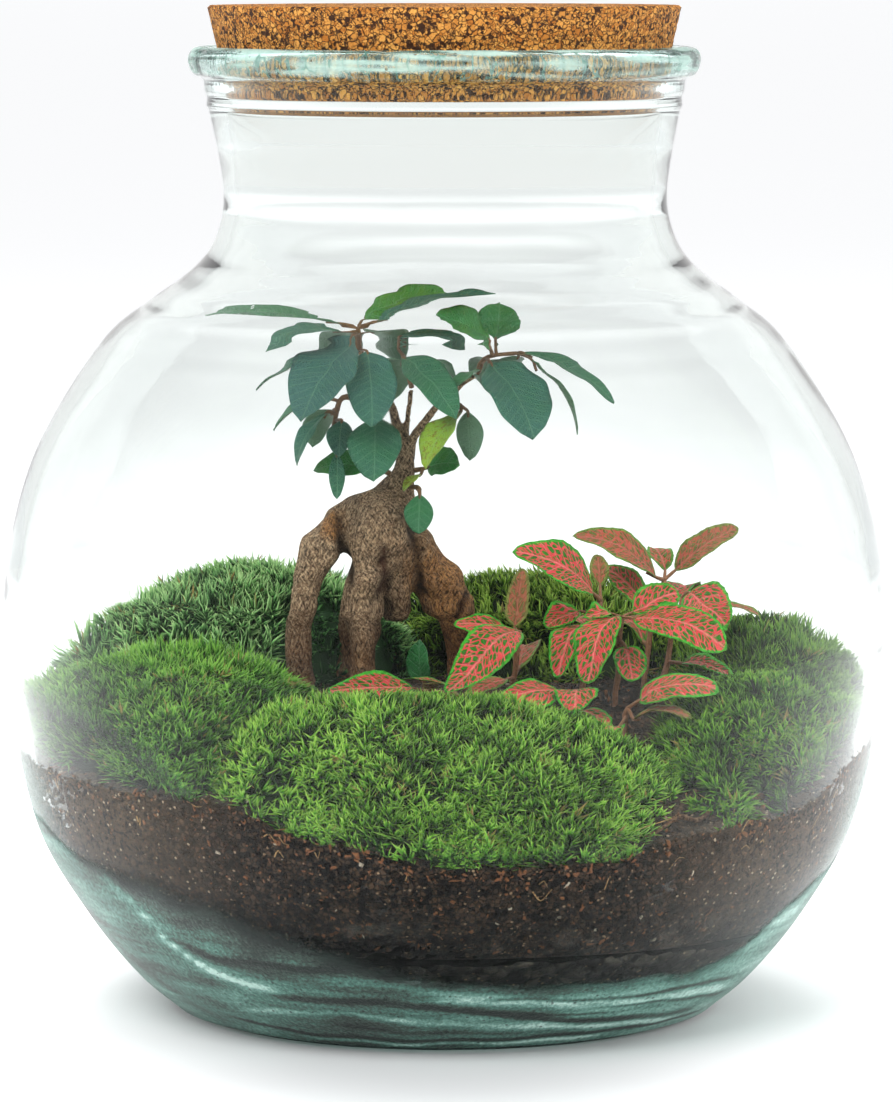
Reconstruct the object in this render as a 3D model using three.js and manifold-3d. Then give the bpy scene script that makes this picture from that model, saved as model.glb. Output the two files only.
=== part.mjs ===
// A closed jar garden: a bellied jar of recycled glass with a cork stopper, planted with a small
// ginseng ficus, nerve plants and cushions of moss on dark soil. Millimetres, +Z up, and the origin
// at the centre of the foot. The plants face the viewer at -Y.
import * as THREE from 'three';
import { mergeVertices } from 'three/addons/utils/BufferGeometryUtils.js';
import Module from 'manifold-3d';

const wasm = await Module();
wasm.setup();

// ------------------------------------------------------------------ driving dimensions

const SEGMENTS = 40; // facets round the jar, a multiple of 4
const CLEARANCE = 0.35; // gap between pieces that touch
const MOSS_GLASS_GAP = 0.6; // gap between a moss cushion and the glass

// Outlines are lists of [radius, height].
const FOOT_UNDERSIDE = [[0, 12], [34, 10.5], [56, 6], [66, 1.6], [68.5, 0]];
const FOOT_EDGE = [[75.4, 0], [76.4, 1.2]];
const OUTER_WALL = [
  [80.6, 1.8], [92.3, 12], [106.7, 30], [120.2, 54], [128.2, 85], [131, 112], [128.6, 138],
  [119.2, 168], [100.6, 197.5], [86.9, 209.3], [77.2, 216.4], [70.1, 223.4], [66.4, 232], [65.4, 242],
  [67.9, 258.7], [70.4, 271],
];
const COLLAR = [
  [70.9, 274.2], [73.6, 276], [75, 279.6], [74.4, 282.2], [72.3, 283.5], [69.2, 283.5], [67.4, 282.4],
];
const INNER_WALL = [
  [64.15, 269.5], [62.8, 258], [61, 242], [62, 231], [66.2, 220.6], [73.8, 212.6], [84, 205.4], [97.4, 194],
  [115.4, 165.8], [124.5, 137], [127, 112], [124, 86], [113.8, 57], [99.6, 36], [88, 24.5],
];
const INNER_FLOOR = [[70, 20.6], [36, 22.4], [0, 24]];

const CORK = { bottom: 269.5, top: 295.8, bottomRadius: 63.8, topRadius: 69.4, edge: 0.8 };

const GRIT_TOP = 33; // height of the coarse layer under the soil
const GRIT_LUMPS = 0.35; // rise and fall of its top
const GRIT_GLASS_GAP = 0.45;
const SOIL_CENTRE = 93; // height of the soil under the plants
// Height of the soil against the glass, as [azimuth in degrees, height].
const SOIL_RIM = [
  [0, 87], [45, 96], [90, 101], [135, 101], [156, 90], [174, 82], [200, 79], [238, 76.5], [256, 66],
  [272, 59], [292, 60.5], [306, 67], [322, 68.5], [343, 82], [360, 87],
];

// Moss cushions: centre, half-widths, turn in degrees, and height of the crown above the soil.
const MOSS = {
  moss_front: { centre: [-1, -83], half: [65, 39], turn: 0, crown: 20, colour: 0x6f9a2c },
  moss_front_left: { centre: [-87, -46], half: [47, 53], turn: 14, crown: 26, colour: 0x5d8a2b },
  moss_back_left: { centre: [-63, 45], half: [57, 37], turn: 20, crown: 30, colour: 0x4f7f2c },
  moss_right_front: { centre: [94, -48], half: [33, 40], turn: -22, crown: 19, colour: 0x41702b },
  moss_right_back: { centre: [100, 12], half: [31, 40], turn: 6, crown: 22, colour: 0x45752c },
  moss_back: { centre: [30, 72], half: [56, 34], turn: -8, crown: 25, colour: 0x4b7c2b },
};
const MOSS_RINGS = 6;
const MOSS_SECTORS = 22;
const MOSS_TUFT = 1.7; // rise and fall of the tufts
const MOSS_SINK = 1.5; // how far a cushion would sink before it is trimmed to the soil
const MOSS_SKIRT = 9; // how far its edge reaches down before that trim

// The root-stock of the ficus: limbs as [x, y, z, radius] along each limb.
const TRUNK_LIMBS = {
  neck: [
    [-11, 6, 167, 2.7], [-12, 6, 158.5, 3.3], [-14.4, 6, 153, 5.2], [-17.5, 6, 146.5, 8.8],
    [-19, 6, 137, 10.4], [-19.6, 6, 128.5, 8.2],
  ],
  shoulder: [
    [-16, 6, 149, 4.6], [-22.5, 6, 146.6, 5.6], [-31, 4.5, 142.6, 6.4], [-37, 2.5, 135.6, 6],
    [-40.6, 0.5, 126, 4.8], [-42.6, -1, 116, 4], [-43.4, -2, 105.6, 3.9], [-43, -2, 94, 4.1],
    [-43, -2, 80, 3],
  ],
  middle: [
    [-21, 4, 136, 8], [-22.6, 0, 128, 6.4], [-23.4, -4, 121, 5], [-23.9, -6, 112, 4.2],
    [-23.9, -7, 103, 3.8], [-23.9, -8, 92, 4], [-23.9, -8, 79, 3],
  ],
  stub: [[-17, 9, 136, 7.4], [-15, 11.5, 126, 5.6], [-14.8, 12.5, 118.5, 4.2], [-15.2, 13, 112.4, 3.2]],
  right: [
    [-16, 7, 142, 7.4], [-9, 8.6, 132.5, 7.8], [-3.2, 10.2, 125.6, 7.8], [2.2, 12, 118, 7],
    [5, 13, 110.6, 5.4], [5.2, 14, 103, 4], [4.4, 14, 92, 4.2], [4, 14, 80, 3],
  ],
  back: [
    [-20, 10, 138, 7.4], [-23.4, 16, 128, 6], [-26.4, 21, 117, 4.8], [-27.6, 24, 106, 4.3],
    [-28, 25, 94, 4.3], [-28, 25, 80, 3],
  ],
};
const TRUNK_SIDES = 8;
const BRANCHES = {
  leader: [[-12.4, 6, 164, 1.9], [-15.4, 6, 176, 1.6], [-20.4, 3.6, 186, 1.4], [-25, 0.6, 193.6, 1.3]],
  right: [
    [-11, 6, 163, 1.9], [-9, 3.2, 168.4, 1.5], [-2, -1.6, 178, 1.3], [4, -1.6, 183, 1.2], [9, -1, 187, 1.2],
  ],
  twig: [[-11.6, 6, 163.6, 1.3], [-11, 7.6, 174, 1], [-9.8, 7.4, 182, 1]],
  low: [[-16.4, 5.6, 178, 1.2], [-22, 5.6, 181, 1], [-26.4, 5.6, 180, 1]],
};
const BRANCH_SIDES = 6;

// Leafy shoots of the ficus. A leaf is [base, tip, width, arch, roll]: arch is its rise over its
// length, and roll turns its face towards the viewer, in degrees.
const FICUS_SPRAYS = {
  ficus_spray_left: {
    shoot: [[-25.1, 0.4, 194.1], [-25.4, 0, 199.4]],
    leaves: [
      [[-30, 1.6, 200.6], [-70, -6, 205], 6, 0.05, 15],
      [[-24, 4.6, 202], [2, 12, 209], 10, 0.1, 40],
      [[-21, -4, 201.4], [15, -14, 211], 7, 0.06, 25],
      [[-30, -3.6, 197.6], [-52, -18, 194], 8, 0.14, 25],
      [[-30, 4.4, 197], [-50, 18, 193], 7, 0.12, 20],
      [[-31, -1.4, 194.4], [-56, 6, 182], 6, 0.06, 10],
      [[-27, -5.4, 196], [-41.5, -24, 175], 20, 0.1, 12],
      [[-22.6, -5.6, 194], [-21, -20, 173], 15.5, 0.1, 0],
      [[-27, 5, 196], [-33, 30, 184], 14, 0.12, 0],
      [[-22, 6, 197], [-14, 30, 187], 13, 0.14, 0],
    ],
  },
  ficus_spray_right: {
    shoot: [[9.5, -1, 187.4], [13, -1, 191.5], [21.5, -1.6, 193]],
    leaves: [
      [[13.4, -4, 194.4], [-2.4, -12, 204], 12, 0.1, 45],
      [[15, 3, 194.6], [24, 7, 200.6], 10, 0.12, 50],
      [[22, 1.4, 191.6], [18, 9, 183], 9, 0.1, 0],
      [[10.6, -2.4, 188.6], [2.2, -6, 181], 9, 0.12, 0],
      [[13.4, -6, 190], [26, -22, 170], 21, 0.1, 8],
      [[22.8, -4, 193.4], [49.6, -10, 179], 8, 0.1, 15],
      [[25.6, 3.6, 190.6], [39.6, 8, 168.4], 5, 0.12, 0],
      [[13, 4.6, 190], [15, 26, 178], 14, 0.12, 0],
    ],
  },
  ficus_spray_middle: {
    shoot: [[-9.6, 7.4, 182.5], [-11.6, 5, 191]],
    leaves: [
      [[-12, 1, 191.4], [3.6, -19, 175.4], 12, 0.1, 20],
      [[-9, 4, 195], [5, 3.4, 194.6], 8, 0.1, 40],
      [[-8, 8, 190.6], [4, 13.6, 183.4], 8, 0.1, 0],
      [[-12, 10, 190], [-16, 30, 177], 12, 0.1, 0],
    ],
  },
  ficus_spray_low: {
    shoot: [[-26.9, 5.6, 180], [-31, 4.6, 179], [-33, 3, 170], [-32.4, 0, 165]],
    leaves: [
      [[-35, 5, 179.6], [-50.6, 2, 170], 7, 0.12, 0],
      [[-34.6, 0.6, 176], [-43.4, -6, 160.4], 7, 0.12, 0],
      [[-30.4, -1, 173.6], [-31, -6.6, 163], 8, 0.1, 0],
      [[-31.8, -4, 164], [-31.8, -8.4, 151], 5, 0.08, 0],
      [[-33, 8, 176], [-40, 24, 163], 10, 0.12, 0],
    ],
  },
  ficus_leaf_drop: {
    shoot: [[-17.6, 3.8, 177.6], [-19.6, -1, 175.6]],
    leaves: [[[-20.2, -4, 174.4], [-20.6, -14.6, 157], 16, 0.08, 0]],
  },
  ficus_leaf_pair: {
    shoot: [[-0.4, -3.5, 179.2], [2.4, -5, 179.2], [5, -5.6, 178]],
    leaves: [
      [[5, -7, 176.6], [-5.4, -16, 160.4], 12.5, 0.1, 0],
      [[7, -4.6, 176.4], [7.4, -2, 161.6], 8, 0.1, 0],
    ],
  },
  ficus_leaf_neck_left: {
    shoot: [[-16.3, 3.2, 157.6], [-18.6, 2, 158.6]],
    leaves: [[[-20.6, 1.6, 159], [-39, 1, 158.2], 9.5, 0.12, 45]],
  },
  ficus_leaf_neck_right: {
    shoot: [[-8.7, 4.1, 158.4], [-6.4, 2.4, 159]],
    leaves: [
      [[-5, 1.4, 159.4], [4.4, -3, 160.6], 11, 0.1, 45],
      [[-7, 0.4, 157.6], [-12, -5, 153], 4, 0.1, 0],
    ],
  },
  ficus_leaf_hanging: {
    shoot: [[-10.3, 1.9, 153.6], [-8.2, -0.8, 153.8], [-7.6, -2.6, 153.2]],
    leaves: [[[-7.4, -3.8, 152], [-7.6, -6.4, 140.6], 8.5, 0.06, 0]],
  },
};

// A young shoot of the ficus that stands in the soil between the legs.
const FICUS_SUCKER = {
  shoot: [[-6, 3, 86], [-6, 3, 96.6]],
  leaves: [[[-6, 3, 97.4], [-7.4, 1, 107.6], 9, 0.1, 0]],
};

// Litter on the soil, by the glass: a chip of bark and a bent root fibre.
const BARK_CHIP = { azimuth: 322, fromAxis: 111, size: [7, 3.4, 2.4], turn: 50 };
const ROOT_FIBRE = [[50, -102], [55, -99], [60, -97.4], [65, -93], [70, -90], [74, -85]];
const ROOT_FIBRE_RADIUS = 0.75;
const LITTER_SINK = 0.5; // how far litter would sink before it is trimmed to the soil
const GROUND_SPREAD = 3; // how far the trimming ground reaches past the soil

// Stems of the nerve plant: each stands upright in its hole, then leans to its last pair of leaves.
const FITTONIA_STEMS = {
  fittonia_back: {
    colour: 0xb23f4d,
    stem: [[60, 8, 80], [60, 8, 98], [62.6, 9, 112], [65.6, 10.4, 125]],
    leaves: [
      [[63, 8.6, 126], [38, 4, 139], 12, 0.16, 40],
      [[69, 12.6, 127.6], [88.4, 12, 141], 11, 0.08, 40],
      [[66, 14, 127.6], [63, 27, 133], 8, 0.12, 0],
      [[60.4, 11, 118], [47, 17, 128.6], 9, 0.12, 40],
      [[67, 13.6, 118], [76, 34, 119], 12, 0.14, 0],
      [[60, 14, 106], [50, 33, 110], 12, 0.16, 0],
    ],
  },
  fittonia_right: {
    colour: 0xbd4350,
    stem: [[64, -6, 79], [64, -6, 94], [67, -3, 108], [70.4, -1, 121.6]],
    leaves: [
      [[72.6, -3, 123], [83, -19, 113.4], 14, 0.16, 30],
      [[74.4, 2, 119.4], [94, 3, 113.6], 7, 0.14, 20],
      [[70, -9, 104.6], [84, -24, 101], 7, 0.14, 20],
      [[71, 3, 112], [85, 17, 112], 10, 0.16, 0],
    ],
  },
  fittonia_centre: {
    colour: 0xc24a56,
    stem: [[50, -15, 76], [50, -15, 92], [51, -17, 106], [52, -18, 117.6]],
    leaves: [
      [[55.6, -20, 117], [81.6, -35, 111], 15, 0.12, 40],
      [[50.4, -21.6, 118.4], [41.6, -35, 100.6], 14, 0.16, 0],
      [[48.6, -18.4, 119.6], [41, -21, 117.6], 8, 0.16, 30],
      [[55, -15, 119.4], [69, -10, 123.6], 10, 0.1, 45],
      [[53, -22, 109.6], [54.6, -30, 100.6], 10.5, 0.12, 0],
    ],
  },
  fittonia_middle: {
    colour: 0xb8434f,
    stem: [[41, -5, 79], [41, -5, 96], [43, -7, 110], [45.6, -9.4, 122]],
    leaves: [
      [[43.6, -12, 124], [20, -22, 137], 15, 0.14, 50],
      [[40.6, -12, 114], [33, -22.6, 101.6], 11, 0.14, 0],
      [[40, -6.6, 119.6], [29.6, -9.4, 112], 11, 0.14, 40],
      [[45.6, -6, 125.4], [45, 0, 134], 6, 0.1, 0],
      [[42, -1, 112], [35, 18, 111], 11, 0.16, 0],
    ],
  },
  fittonia_low_front: {
    colour: 0xb03a48,
    stem: [[36, -28, 72], [36, -28, 92], [36.6, -29.4, 96]],
    leaves: [
      [[38.4, -33, 97.4], [37.6, -43, 92.6], 13, 0.14, 0],
      [[33, -31.6, 97], [16, -40.6, 94.6], 12, 0.14, 45],
      [[40, -31, 91.6], [47.6, -38.6, 87.6], 8, 0.1, 0],
    ],
  },
  fittonia_left: {
    colour: 0xc0505a,
    stem: [[20, -12, 78], [20, -12, 96], [21, -13.4, 104], [21.6, -14.6, 111]],
    leaves: [
      [[22, -18.6, 112], [0.4, -42, 97.6], 13, 0.2, 35],
      [[18, -14, 112.4], [2.6, -15, 114.4], 10.5, 0.1, 50],
      [[18.4, -16, 101], [7, -27, 93.6], 8.5, 0.12, 20],
      [[20.8, -10, 112.4], [23.4, -2.4, 130], 7, 0.06, 0],
      [[22, -8, 103], [25.6, 10, 103], 9.5, 0.16, 0],
    ],
  },
  fittonia_creeping: {
    colour: 0xc44f5a,
    stem: [[4, -26, 76], [4, -26, 93], [0, -28.6, 96], [-6, -31.4, 97]],
    leaves: [
      [[-9, -33, 98.6], [-34, -38, 97], 12, 0.14, 60],
      [[3, -23, 97], [-13.4, -20, 100.4], 6, 0.12, 0],
      [[-3.6, -34, 97.8], [-4.4, -39.6, 101.6], 5, 0.1, 0],
    ],
  },
  fittonia_low_right: {
    colour: 0xad3d49,
    stem: [[52, -38, 70], [52, -38, 89], [53, -40, 93.6]],
    leaves: [
      [[56, -42.6, 96], [78.6, -50, 100], 12, 0.16, 40],
      [[54.4, -44.6, 91], [70.6, -54, 92.8], 7, 0.14, 10],
      [[50, -45, 88.6], [44.6, -52.6, 87], 9, 0.1, 0],
    ],
  },
};

const LEAF_STATIONS = [0, 0.14, 0.38, 0.64, 0.87, 1];
const SMALL_LEAF_STATIONS = [0, 0.2, 0.5, 0.8, 1];
const SMALL_LEAF_WIDTH = 8.6;
const LEAF_MID_THICKNESS = 1;
const LEAF_EDGE_THICKNESS = 0.6;
const BLADE_FOLD = 0.22; // rise of a blade's edge over its midrib, per half-width
const BLADE_WAVE = 0.04; // height of the edge's waves, per width
const PETIOLE_RADIUS = 0.6;
const SHOOT_RADIUS = 0.85;
const FITTONIA_STEM_RADIUS = 1;
const PETIOLE_INTO_LEAF = 0.12; // share of the blade that the petiole runs into
const STEM_SIDES = 5;
const PETIOLE_SIDES = 3;

// ------------------------------------------------------------------ solids and skins

const V = (x, y, z) => new THREE.Vector3(x, y, z);
const UP = V(0, 0, 1);
const rad = THREE.MathUtils.degToRad;

function signedVolume(positions, index) {
  const a = V();
  const b = V();
  const c = V();
  let sum = 0;
  for (let i = 0; i < index.length; i += 3) {
    a.fromArray(positions, index[i] * 3);
    b.fromArray(positions, index[i + 1] * 3);
    c.fromArray(positions, index[i + 2] * 3);
    sum += a.dot(b.cross(c));
  }
  return sum;
}

// A solid from any closed geometry, with its faces turned outwards.
function solid(geometry) {
  const bare = geometry.clone();
  bare.deleteAttribute('normal');
  bare.deleteAttribute('uv');
  const merged = mergeVertices(bare, 1e-4);
  const positions = merged.attributes.position.array;
  const kept = [];
  for (let i = 0; i < merged.index.count; i += 3) {
    const [a, b, c] = [0, 1, 2].map((k) => merged.index.getX(i + k));
    if (a !== b && b !== c && c !== a) kept.push([a, b, c]);
  }
  const inverted = signedVolume(positions, kept.flat()) < 0;
  const triVerts = new Uint32Array(kept.flatMap(([a, b, c]) => (inverted ? [a, c, b] : [a, b, c])));
  const vertProperties = new Float32Array(positions);
  return new wasm.Manifold(new wasm.Mesh({ numProp: 3, vertProperties, triVerts }));
}

function fuse(solids) {
  return solids.reduce((joined, next) => joined.add(next));
}

// The largest body of a cut solid: loose scraps are dropped.
function largest(body) {
  return body.decompose().reduce((best, next) => (next.volume() > best.volume() ? next : best));
}

function toGeometry(body) {
  const { vertProperties, triVerts } = body.getMesh();
  const geometry = new THREE.BufferGeometry();
  geometry.setAttribute('position', new THREE.BufferAttribute(new Float32Array(vertProperties), 3));
  geometry.setIndex(new THREE.BufferAttribute(new Uint32Array(triVerts), 1));
  geometry.computeVertexNormals();
  return geometry;
}

// A closed skin over rings of equally many points, capped at both ends. The columns in `mirrored`
// are split along the other diagonal, so that both faces of a blade are split alike.
function skin(rings, mirrored = [], capStart = 0) {
  const count = rings[0].length;
  const positions = rings.flat().flatMap((p) => [p.x, p.y, p.z]);
  const index = [];
  for (let i = 0; i + 1 < rings.length; i += 1) {
    for (let j = 0; j < count; j += 1) {
      const a = i * count + j;
      const b = i * count + ((j + 1) % count);
      const c = b + count;
      const d = a + count;
      if (mirrored.includes(j)) index.push(a, b, d, b, c, d);
      else index.push(a, b, c, a, c, d);
    }
  }
  const last = (rings.length - 1) * count;
  for (let k = 1; k + 1 < count; k += 1) {
    const [p, q, r] = [capStart, (capStart + k) % count, (capStart + k + 1) % count];
    index.push(p, r, q, last + p, last + q, last + r);
  }
  const geometry = new THREE.BufferGeometry();
  geometry.setAttribute('position', new THREE.Float32BufferAttribute(positions, 3));
  geometry.setIndex(index);
  return geometry;
}

// A round limb along points [x, y, z, radius], made fatter and longer by `grow`.
function limb(points, sides, grow = 0) {
  const centres = points.map(([x, y, z]) => V(x, y, z));
  const tangents = centres.map((_, i) => {
    const before = centres[Math.max(i - 1, 0)];
    const after = centres[Math.min(i + 1, centres.length - 1)];
    return after.clone().sub(before).normalize();
  });
  const end = centres.length - 1;
  centres[0].addScaledVector(tangents[0], -grow);
  centres[end].addScaledVector(tangents[end], grow);
  let side = V(1, 0, 0).cross(tangents[0]);
  if (side.length() < 0.2) side = V(0, 1, 0).cross(tangents[0]);
  const rings = centres.map((centre, i) => {
    side = side.clone().addScaledVector(tangents[i], -side.dot(tangents[i])).normalize();
    const other = tangents[i].clone().cross(side);
    return Array.from({ length: sides }, (_, k) => {
      const angle = (2 * Math.PI * k) / sides;
      const radius = points[i][3] + grow;
      return centre.clone()
        .addScaledVector(side, radius * Math.cos(angle))
        .addScaledVector(other, radius * Math.sin(angle));
    });
  });
  return solid(skin(rings));
}

// Points [x, y, z] along a thin stem, given one radius.
const withRadius = (points, radius) => points.map((p) => [...p, radius]);

// A body turned about the jar's axis from an outline of [radius, height].
function turned(outline) {
  const points = outline.map(([r, z]) => new THREE.Vector2(r, z));
  return new THREE.LatheGeometry(points, SEGMENTS).rotateX(Math.PI / 2);
}

// An outline's smooth curve, sampled at `count` steps.
function smooth(outline, count) {
  const curve = new THREE.SplineCurve(outline.map(([r, z]) => new THREE.Vector2(r, z)));
  return curve.getPoints(count).map((p) => [p.x, p.y]);
}

// ------------------------------------------------------------------ jar and stopper

const innerWall = smooth(INNER_WALL, 14);
const innerOutline = [...innerWall, ...INNER_FLOOR];

function jar() {
  const outerWall = smooth(OUTER_WALL, 16);
  return solid(turned([...FOOT_UNDERSIDE, ...FOOT_EDGE, ...outerWall, ...COLLAR, ...innerOutline]));
}

function corkStopper() {
  const { bottom, top, bottomRadius, topRadius, edge } = CORK;
  return solid(turned([
    [0, bottom], [bottomRadius - edge, bottom], [bottomRadius, bottom + edge], [topRadius, top - edge],
    [topRadius - edge, top], [0, top],
  ]));
}

// Radius of the glass inside the jar at a height, between the outline's own points.
function innerRadius(z) {
  const i = innerWall.findIndex(([, height], k) => k > 0 && height <= z);
  const [[r0, z0], [r1, z1]] = [innerWall[i - 1], innerWall[i]];
  return r0 + ((r1 - r0) * (z0 - z)) / (z0 - z1);
}

// The space inside the glass, held off it by a gap: what moss is kept to.
function roomInside(gap) {
  const wall = innerWall.filter(([, z]) => z > GRIT_TOP && z < 200).map(([r, z]) => [r - gap, z]);
  const [[, top]] = wall;
  const [, bottom] = wall[wall.length - 1];
  return solid(turned([[0, bottom], ...wall.reverse(), [0, top]]));
}

// ------------------------------------------------------------------ ground

function rimHeight(azimuth) {
  const angle = ((azimuth % 360) + 360) % 360;
  const i = Math.max(SOIL_RIM.findIndex(([a]) => a > angle), 1);
  const [[a0, h0], [a1, h1]] = [SOIL_RIM[i - 1], SOIL_RIM[i]];
  return h0 + (h1 - h0) * THREE.MathUtils.smoothstep(angle, a0, a1);
}

// Height of the soil at a place, without its clods.
function soilHeight(x, y) {
  const rim = rimHeight(THREE.MathUtils.radToDeg(Math.atan2(y, x)));
  const share = Math.hypot(x, y) / (innerRadius(rim) - CLEARANCE);
  return SOIL_CENTRE + (rim - SOIL_CENTRE) * Math.min(share, 1) ** 2;
}

// Rise and fall of the soil's surface: broad waves, and small lumps over them.
function clods(x, y) {
  const waves = 0.8 * Math.sin(x * 0.33 + 1.3) * Math.cos(y * 0.29);
  const lumps = 0.5 * Math.sin(x * 0.81 - y * 0.67);
  return waves + lumps;
}

// Rings of a round mass: from the centre of its top, over the edge and down the glass, and back
// to the centre underneath. Each ring is a function of the azimuth in radians.
function roundMass(rings) {
  const points = rings.map((ring) => Array.from({ length: SEGMENTS }, (_, k) => {
    const angle = (2 * Math.PI * k) / SEGMENTS;
    const { radius, z } = ring(angle);
    return V(radius * Math.cos(angle), radius * Math.sin(angle), z);
  }));
  return solid(skin(points));
}

const CENTRE_RADIUS = 1; // size of the small facet in the middle of a round mass

// `lift` raises the block and `spread` widens it past the glass, for trimming what lies on it.
function soilBlock(lift = 0, spread = 0) {
  const bottom = GRIT_TOP + CLEARANCE + 1;
  const top = [0, 0.17, 0.34, 0.51, 0.68, 0.84].map((share) => (angle) => {
    const rim = rimHeight(THREE.MathUtils.radToDeg(angle));
    const radius = CENTRE_RADIUS + share * (innerRadius(rim) - CLEARANCE - CENTRE_RADIUS);
    const [x, y] = [radius * Math.cos(angle), radius * Math.sin(angle)];
    return { radius, z: soilHeight(x, y) + clods(x, y) + lift };
  });
  const wallAt = (share, outwards) => (angle) => {
    const z = bottom + (rimHeight(THREE.MathUtils.radToDeg(angle)) - bottom) * share;
    return { radius: innerRadius(z) - CLEARANCE + outwards, z: z + lift };
  };
  const wall = [1, 0.72, 0.4, 0].map((share) => wallAt(share, spread));
  const brim = spread > 0 ? [wallAt(1, 0)] : [];
  return roundMass([...top, ...brim, ...wall, () => ({ radius: CENTRE_RADIUS, z: bottom + lift })]);
}

// The coarse layer fills the bowl under the soil, with lumps on top.
function drainageLayer() {
  const lumps = (x, y) => GRIT_LUMPS * Math.sin(x * 0.55) * Math.sin(y * 0.6 + 1);
  const topRadius = innerRadius(GRIT_TOP) - 2 * GRIT_GLASS_GAP;
  const top = [0, 0.36, 0.7].map((share) => (angle) => {
    const radius = CENTRE_RADIUS + share * (topRadius - CENTRE_RADIUS);
    return { radius, z: GRIT_TOP + lumps(radius * Math.cos(angle), radius * Math.sin(angle)) };
  });
  const wall = innerOutline.filter(([, z]) => z < GRIT_TOP).slice(0, -1);
  const sides = [[innerRadius(GRIT_TOP), GRIT_TOP - CLEARANCE], ...wall]
    .map(([r, z]) => () => ({ radius: r - GRIT_GLASS_GAP, z: z + GRIT_GLASS_GAP }));
  const [, [, floor]] = INNER_FLOOR.slice(-2);
  return roundMass([...top, ...sides, () => ({ radius: CENTRE_RADIUS, z: floor + GRIT_GLASS_GAP })]);
}

// A domed cushion of moss, its tufts raised and sunk in turn, reaching under the soil.
function mossDome({ centre, half, turn, crown }, grow = 0) {
  const [cos, sin] = [Math.cos(rad(turn)), Math.sin(rad(turn))];
  const rings = [];
  for (let i = 0; i <= MOSS_RINGS; i += 1) {
    const share = Math.max(i / MOSS_RINGS, 0.03);
    rings.push(Array.from({ length: MOSS_SECTORS }, (_, k) => {
      const angle = (2 * Math.PI * (k + (i % 2) / 2)) / MOSS_SECTORS;
      const edge = 1 + 0.05 * Math.sin(3 * angle + centre[0]) + 0.03 * Math.sin(7 * angle);
      const u = (half[0] + grow) * share * edge * Math.cos(angle);
      const v = (half[1] + grow) * share * edge * Math.sin(angle);
      const x = centre[0] + u * cos - v * sin;
      const y = centre[1] + u * sin + v * cos;
      const tuft = MOSS_TUFT * Math.sin(k * 2.4 + i * 1.9) * Math.min(1, 2 * share, 2 - 2 * share);
      const dome = crown * (1 - share ** 2.3) ** 0.62;
      return V(x, y, soilHeight(x, y) + dome + tuft + grow - MOSS_SINK);
    }));
  }
  const rim = rings[MOSS_RINGS];
  rings.push(rim.map((p) => V(p.x, p.y, p.z - MOSS_SKIRT)));
  return solid(skin(rings));
}

// Litter is sunk a little here, and trimmed to the soil that it lies on when it is placed.
function barkChip(grow = 0) {
  const { azimuth, fromAxis, size: [length, width, thickness], turn } = BARK_CHIP;
  const [x, y] = [fromAxis * Math.cos(rad(azimuth)), fromAxis * Math.sin(rad(azimuth))];
  const shape = new THREE.Shape([[-0.5, -0.3], [0.1, -0.5], [0.5, -0.2], [0.42, 0.4], [-0.2, 0.5]]
    .map(([u, v]) => new THREE.Vector2(u * (length + 2 * grow), v * (width + 2 * grow))));
  const chip = new THREE.ExtrudeGeometry(shape, { depth: thickness + grow, bevelEnabled: false });
  chip.rotateZ(rad(turn)).translate(x, y, soilHeight(x, y) - LITTER_SINK);
  return solid(chip);
}

function rootFibre(grow = 0) {
  const lying = (x, y) => soilHeight(x, y) + clods(x, y) + LITTER_SINK;
  const path = ROOT_FIBRE.map(([x, y]) => [x, y, lying(x, y), ROOT_FIBRE_RADIUS]);
  return limb(path, STEM_SIDES, grow);
}

// ------------------------------------------------------------------ ficus

function trunk(grow = 0) {
  const limbs = Object.values(TRUNK_LIMBS).map((points) => limb(points, TRUNK_SIDES, grow));
  const branches = Object.values(BRANCHES).map((points) => limb(points, BRANCH_SIDES, grow));
  return fuse([...limbs, ...branches]);
}

// Half-width of a blade along its length, as a share of its widest half-width.
const outlines = {
  ficus: (t) => Math.sin(Math.PI * t ** 0.96) ** 0.64,
  fittonia: (t) => Math.sin(Math.PI * t ** 0.82) ** 0.7,
};

// One blade: an arched leaf with its halves lifted from the midrib.
function blade([base, tip, width, arch, roll], outline) {
  const from = V(...base);
  const chord = V(...tip).sub(from);
  const length = chord.length();
  const along = chord.clone().normalize();
  const turn = rad(along.x < 0 ? -roll : roll);
  const side = UP.clone().cross(along).normalize().applyAxisAngle(along, turn);
  const normal = along.clone().cross(side);
  const stations = width < SMALL_LEAF_WIDTH ? SMALL_LEAF_STATIONS : LEAF_STATIONS;
  const rings = stations.map((t) => {
    const rise = arch * length * 4 * t * (1 - t);
    const centre = from.clone().addScaledVector(chord, t).addScaledVector(normal, rise);
    if (t === 0 || t === 1) return Array(6).fill(centre);
    const half = (width / 2) * outline(t);
    const wave = BLADE_WAVE * width * Math.sin(9 * t);
    const at = (across, up) => centre.clone().addScaledVector(side, across).addScaledVector(normal, up);
    const lift = BLADE_FOLD * half;
    const edge = LEAF_EDGE_THICKNESS / 2;
    const mid = LEAF_MID_THICKNESS / 2;
    return [
      at(half, lift + wave + edge), at(0, mid), at(-half, lift - wave + edge),
      at(-half, lift - wave - edge), at(0, -mid), at(half, lift + wave - edge),
    ];
  });
  return solid(skin(rings, [3, 4], 1));
}

// The point of a stem that lies nearest to a place.
function nearestOn(stem, place) {
  const spots = [];
  for (let i = 0; i + 1 < stem.length; i += 1) {
    const piece = new THREE.Line3(V(...stem[i]), V(...stem[i + 1]));
    spots.push(piece.closestPointToPoint(place, true, V()));
  }
  return spots.reduce((best, next) => (next.distanceTo(place) < best.distanceTo(place) ? next : best));
}

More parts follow.
